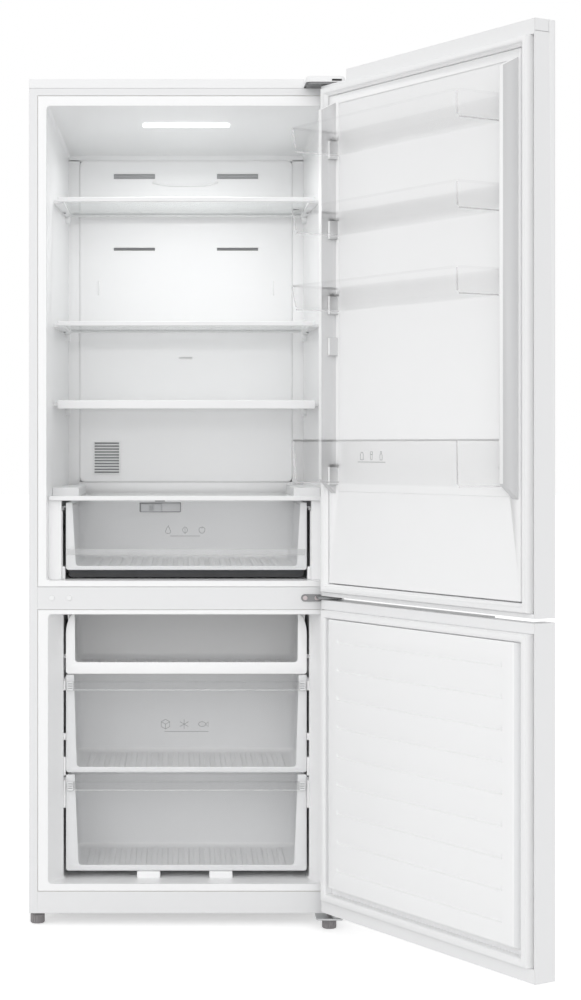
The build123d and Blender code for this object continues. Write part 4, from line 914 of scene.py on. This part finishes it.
# body: icons, their half height, first centre, step, height, face depth, line under them
iconSet = {
    "crisper": (("pear", "leaf", "apple"), 8.0, -41, 38, 877.5, 39.6, (-36, 31, 863.8)),
    "middle_drawer": (("cube", "flake", "fish"), 11.0, -47, 42, 438.5, 61.7, (-49, 50, 421.8)),
    "bin_4": (("bottle", "glass", "jar"), 8.5, -38, 32, 1046, 115.8, (-52, 40, 1033)),
}
iconLine = {"thickness": 0.55, "flatness": 0.5}


def drawIcons():
    for body, (icons, size, first, step, height, depth, (x0, x1, under)) in iconSet.items():
        lines = []
        for index, icon in enumerate(icons):
            centre = first + index * step
            for *points, closed in iconShapes[icon]:
                places = [(centre + x * size, depth, height + z * size) for x, z in points]
                lines.append(drawLine("iconLine", places, iconLine["thickness"], 2, closed, closed))
        places = [(x0, depth, under), (x1, depth, under)]
        lines.append(drawLine("iconLine", places, iconLine["thickness"], 2, False, False))
        piece = joinPieces(body + "Icons", *lines)
        # flattened so that the lines lie on the face
        flat = Matrix.Scale(iconLine["flatness"], 4, (0, 1, 0))
        piece.data.transform(about((0, depth, 0), flat))
        settle(piece, body, "clear_plastic", finish="printedGreyAndShade")


# cold air panel's details
airSet = {
    "face": 455.0,
    # left, right, top, height, rows of slats, finish; the grey finish paints the shade inside the slots
    "slots": ((76, 177, 1733, 12, 2, "frostedGreyAndShade"), (76, 177, 1552, 7, 1, "printedGreyAndShade")),
    "slotBack": (3, 3, 5), "slat": (2, 1.2, 5.5, 0.7), "slotEdge": 0.3,
    "lip": ((-82, 1713), (-62, 1706.5), (-30, 1704), (30, 1704), (60, 1706.5), (78, 1713)),
    "lipThickness": 2.8,
    # blocks: left, right, front, back, bottom, top, edge width, edge segments
    "wing": (260, 296, 459, 466, 944.5, 1768, 1),
    "header": (-296, 296, 459, 466, 1764, 1788, 1), "foot": (-264, 264, 458, 466, 946, 977.5, 1),
    "mark": (212, 216, 453, 456, 1436, 1470, 1.2, 3),
    "probe": (-16.6, 15.6, 455.5, 458, 1279.8, 1283.2, 0.6),
    "grille": (-226, -162, 461, 463, 996, 1078, 0.5, 1),
}


def buildAirDetails():
    face = airSet["face"]
    frameWidth, y0, y1 = airSet["slotBack"]
    slatReach, slatFront, slatBack, slatHalf = airSet["slat"]
    for index, (x0, x1, top, height, rows, finish) in enumerate(airSet["slots"]):
        louvres = [startBlock("slotBack", (x0 - frameWidth, face + y0, top - height - frameWidth),
                              (x1 + frameWidth, face + y1, top + frameWidth))]
        for row in range(rows):
            z = top - height * (row + 0.5) / rows
            louvres.append(startBlock("slat", (x0 - slatReach, face + slatFront, z - slatHalf),
                                      (x1 + slatReach, face + slatBack, z + slatHalf)))
        piece = joinPieces(f"slotLouvres{index + 1}", *louvres)
        soften(piece, airSet["slotEdge"], 1)
        # the grey louvres are painted shade for the inside of the slots
        settle(withTwin(piece), finish=finish)
    # the air lip's bright line is a painted highlight, in the lighter painted-light white
    lip = drawLine("airLip", [(x, face, z) for x, z in airSet["lip"]], airSet["lipThickness"], 4, True, False)
    settle(lip, finish="paintedLightWhite")
    # the panel's wings, which close the space beside it, with the strips above and below, in the lighter
    # painted-light white
    wing = spanBlock("ductWing", *airSet["wing"])
    header = spanBlock("ductHeader", *airSet["header"])
    foot = spanBlock("ductFoot", *airSet["foot"])
    settle(joinPieces("ductWings", header, foot, withTwin(wing)), finish="paintedLightWhite")
    settle(withTwin(spanBlock("panelMark", *airSet["mark"])))
    settle(spanBlock("probeCover", *airSet["probe"]), finish="seal")
    settle(spanBlock("grilleBack", *airSet["grille"]), finish="frostedGreyAndShade")


# shelf hooks on both walls
hookSet = {
    "tops": (1632.8, 1348.9, 1168.4), "glass": 4.3,
    "wall": -291.5, "buried": 8, "reach": 11, "armY": 318, "armLow": 9, "armHigh": 1, "armEdge": 2,
    "discY": 396, "discDrop": 13, "discRadius": 12, "discEdge": 1.2,
}
hollowSet = {
    "radius": 7.5, "drop": 12, "sunk": 3,
    "dot": 3.4, "dotX": 2, "dotAhead": 2, "dotBehind": 1, "dotDrop": 6, "dotEdge": 0.4,
}


def buildShelfHooks():
    tops, glass, wall, buried, reach, y0, lower, upper, armEdge, y1, drop, radius, discEdge = hookSet.values()
    hollow, hollowDrop, sunk, dotRadius, dotX, ahead, behind, dotDrop, dotEdge = hollowSet.values()
    start, end = wall - buried, wall + reach
    hooks, dots = [], []
    for top in tops:
        under = top - glass
        z = under - drop
        disc = startRod("hookDisc", (start, y1, z), (end, y1, z), radius, 40)
        z = under - hollowDrop
        cutAway(disc, startRod("hookHollow", (end - sunk, y1, z), (end + sunk, y1, z), hollow, 32))
        arm = softBlock("hookArm", (start, y0, under - lower), (end - 1, y1, under - upper), armEdge, 3)
        soften(disc, discEdge, 3)
        hooks += [disc, arm]
        x, z = wall + dotX, under - dotDrop
        dots.append(startRod("hookDot", (x, y0 - ahead, z), (x, y0 + behind, z), dotRadius, 20))
    settle(withTwin(joinPieces("shelfHooks", *hooks)))
    dot = joinPieces("shelfHookDots", *dots)
    soften(dot, dotEdge, 1)
    settle(withTwin(dot), finish="frostedGreyAndShade")


# the lamp's lens, which lies along the sloping ceiling
lampSet = {
    "half": 100, "y": (151, 176), "middleY": 163.5, "thickness": 3.3, "corner": 6, "edge": 1.0,
    "slope": 5.37, "ceiling": 1822, "fall": 0.094, "gap": 0.35,
}


def buildLamp():
    half, (y0, y1), middleY, thickness, corner, edge, slope, ceiling, fall, gap = lampSet.values()
    top = ceiling - fall * middleY - gap
    lens = startBlock("lampLens", (-half, y0, top - thickness), (half, y1, top))
    roundEdges(lens, corner, 5, along(2))
    soften(lens, edge, 3)
    turn = Matrix.Rotation(-math.radians(slope), 4, "X")
    lens.data.transform(about((0, middleY, top), turn))
    settle(lens, "cabinet", "lamp", "lamp_lens")


# the refrigerator door's inner shell, with its two ridges, whose sides and down-facing faces get a grey
# painted shade
ridgeSet = {"inner": 270, "outer": 308.5, "foot": -9.0, "edge": 1.2}


def buildUpperLiner():
    shell = copyDoorNode("upper_door_liner", "upperDoorShell")
    soften(shell, ridgeSet["edge"])

    def shadedRidgeFaces(centre, normal):
        side = ridgeSet["inner"] < abs(centre.x) < ridgeSet["outer"]
        return side and centre.y > ridgeSet["foot"] and (abs(normal.x) > 0.8 or normal.z < -0.4)

    settle(shell, "upper_door", "white_liner", "upper_door_liner", second=("ridgePaintedShade", shadedRidgeFaces))


# magnetic gaskets: the profile as steps inwards from the outer edge, with the level of each
gasketSet = {
    "half": 338, "back": -21.9, "start": -14.5, "ledge": 0.06,
    "steps": ((0.4, -11), (0.6, -5), (1.2, -2), (2.8, -1.1)),
    # node: body, bottom, top, steps of the inner fin
    "frames": {
        "upper_door_gasket": ("upper_door", 744.3, 1851.5, ((5, -1.1), (2.6, -2.8), (1.4, -6), (4.9, -11))),
        "lower_door_gasket": ("lower_door", 66.4, 705.7, ((9, -1.1), (2, -2.6), (1, -6))),
    },
    "channel": (338.6, 346.0, -21.9, -20.8), "channelEdge": 0.3,
}


def buildGaskets():
    values = gasketSet
    half, back = values["half"], values["back"]
    x0, x1, y0, y1 = values["channel"]
    for node, (body, low, high, inner) in values["frames"].items():
        seal = startBlock(node + "Profile", (-half, back, low), (half, values["start"], high))
        pick(seal, "FACE", lambda face: face.normal.y > 0.9)
        depth, inward = values["start"], 0
        for step, reached in (*values["steps"], *inner):
            bpy.ops.mesh.inset(thickness=step, depth=reached - depth, use_even_offset=True)
            depth = reached
            inward += step
        switch("OBJECT")
        inward += values["ledge"]
        opening = half - inward
        cutAway(seal, startBlock("sealHole", (-opening, back - 5, low + inward), (opening, 5, high - inward)))
        settle(seal, body, "seal", node, smooth=50)
        channel = softBlock(body + "Channel", (x0, y0, low + 1), (x1, y1, high - 1), values["channelEdge"], 1)
        settle(withTwin(channel), body, "white_liner")


# the freezer door's inner shell: a raised field with shallow grooves, whose side faces get the darker drawer
# white as painted shade
lowerShellSet = {
    "plate": (346.2, -24, -22, 66.4, 705.7), "field": (316, 94, 688.4, 1.0), "lean": (13, 8, 1.4),
    "round": 2.5, "shadeBand": 12,
}
grooveSet = {
    "count": 9, "half": 272, "top": 645, "pitch": 62, "height": 6.6, "depth": 2.5,
    "foot": -5.2, "taper": (0.985, 1, 0.08), "past": 0.4,
}


def buildLowerLiner():
    (edge, y0, y1, z0, z1), (half, low, high, face), lean, width, band = lowerShellSet.values()
    count, reach, top, pitch, height, depth, foot, taper, past = grooveSet.values()
    side, leanLow, leanHigh = lean
    field = startBlock("lowerDoorShell", (-half, y0, low), (half, face, high))
    squeeze(field, ((half - side) / half, 1, 1), (0, face, low), near(y=face))
    pull(field, (0, 0, leanLow), near(y=face, z=low))
    pull(field, (0, 0, -leanHigh), near(y=face, z=high))
    roundEdges(field, width, 4, lambda edge: middle(edge).y > y0 + 1)
    for row in range(count):
        z = top - row * pitch
        groove = startBlock("groove", (-reach, face - depth, z - height), (reach, face + past, z + height))
        squeeze(groove, taper, (0, face, z + foot), near(y=face - depth))
        cutAway(field, groove)
    weld(field, startBlock("shellPlate", (-edge, y0, z0), (edge, y1, z1)))

    # side faces of the field near its edge, painted darker as shade
    def shadedSide(centre, normal):
        return abs(normal.x) > 0.7 and centre.y > y1 + 1 and abs(centre.x) > half - band

    settle(field, "lower_door", "white_liner", "lower_door_liner", second=("drawer_white", shadedSide))


# the refrigerator door's sheet, with the seam of its end cap at the free edge
doorSheetSet = {"seamZ": (1858, 1884), "seamY": (-49, -10), "seamX": (-352, -349.4), "seamHalf": 0.45}


def buildUpperSheet():
    (z, top), (y, back), (x0, x1), half = doorSheetSet.values()
    sheet = copyDoorNode("upper_door_skin", "upperDoorSheet")
    upright = startBlock("seam", (x0, y - half, z - half), (x1, y + half, top))
    level = startBlock("seam", (x0, y - half, z - half), (x1, back, z + half))
    cutAway(sheet, upright, level)
    settle(sheet, "upper_door", "door_sheet", "upper_door_skin")


# the light line on the top hinge, and the freezer's side supports beside the drawers
trimSet = {
    "line": (264, 293, -7.2, -5.9, 1864.7, 1866.5, 0.4),
    "supportX": (272.2, 277.4), "supportY": (64.5, 71), "supportEdge": 1.2,
    "supports": ((249, 311), (322, 364), (402, 418), (514, 536)),
}


def buildTrims():
    line, (x0, x1), (y0, y1), edge, heights = trimSet.values()
    settle(spanBlock("hingeLine", *line), "cabinet", "white_trim")
    strips = [softBlock("drawerSupport", (x0, y0, z0), (x1, y1, z1), edge, 3) for z0, z1 in heights]
    settle(withTwin(joinPieces("drawerSupports", *strips)))


# back panel with two sunk beads and its screws
backSet = {
    "half": 349.2, "y": (594.1, 595.0), "z": (244.5, 1879.8), "edge": 0.25,
    "beads": ((-240, -120), (120, 240)), "beadZ": (330, 1780), "depth": 0.6, "corner": 24,
}
screwSet = {
    "x": (-330, -110, 110, 330), "z": (262, 1860), "sideZ": (600, 1000, 1430),
    "seat": (6.5, 0.5), "head": (4.6, 0.7, 0.02), "headEdge": 0.3, "cross": (2.4, 0.5),
}


def buildBackPanel():
    half, (y0, y1), (z0, z1), edge, beads, (beadLow, beadHigh), depth, corner = backSet.values()
    rows, heights, sides, (seat, sunk), (radius, back, front), headEdge, (long, short) = screwSet.values()
    panel = startBlock("backPanel", (-half, y0, z0), (half, y1, z1))
    for x0, x1 in beads:
        bead = startBlock("bead", (x0, y1 - depth, beadLow), (x1, y1 + 3, beadHigh))
        roundEdges(bead, corner, 6, along(1))
        cutAway(panel, bead)
    places = [(x, z) for x in rows for z in heights] + [(x, z) for x in (rows[0], rows[-1]) for z in sides]
    screws = []
    for x, z in places:
        cutAway(panel, startRod("screwSeat", (x, y1 - sunk, z), (x, y1 + 2, z), seat, 24))
        screw = startRod("backScrew", (x, y1 - back, z), (x, y1 - front, z), radius, 24)
        soften(screw, headEdge)
        for wide, tall in ((long, short), (short, long)):
            cross = startBlock("screwCross", (x - wide, y1 - short, z - tall), (x + wide, y1 + 1, z + tall))
            cutAway(screw, cross)
        screws.append(screw)
    soften(panel, edge)
    settle(panel, "cabinet", "back_sheet", "back_panel")
    settle(joinPieces("backScrews", *screws), "cabinet", "screw_steel")


placeCamera()
layFloor()
lightRoom()
print("camera, floor and light are set")
finishes = buildFinishes()
dressNodes(finishes)
print("finishes are on")
buildFreezerDrawers()
print("freezer drawers are in")
buildCrisper()
print("crisper is in")
buildDoorBins()
print("door bins are hung")
drawIcons()
print("pictograms are on")
buildAirDetails()
buildShelfHooks()
buildLamp()
print("cold air panel, shelf hooks and lamp are done")

buildUpperLiner()
buildLowerLiner()
buildUpperSheet()
buildGaskets()
print("door shells and gaskets are in")
buildTrims()
buildBackPanel()
print("hinge line, drawer supports and back panel are in")

scene = bpy.context.scene
scene.view_settings.view_transform = "Standard"
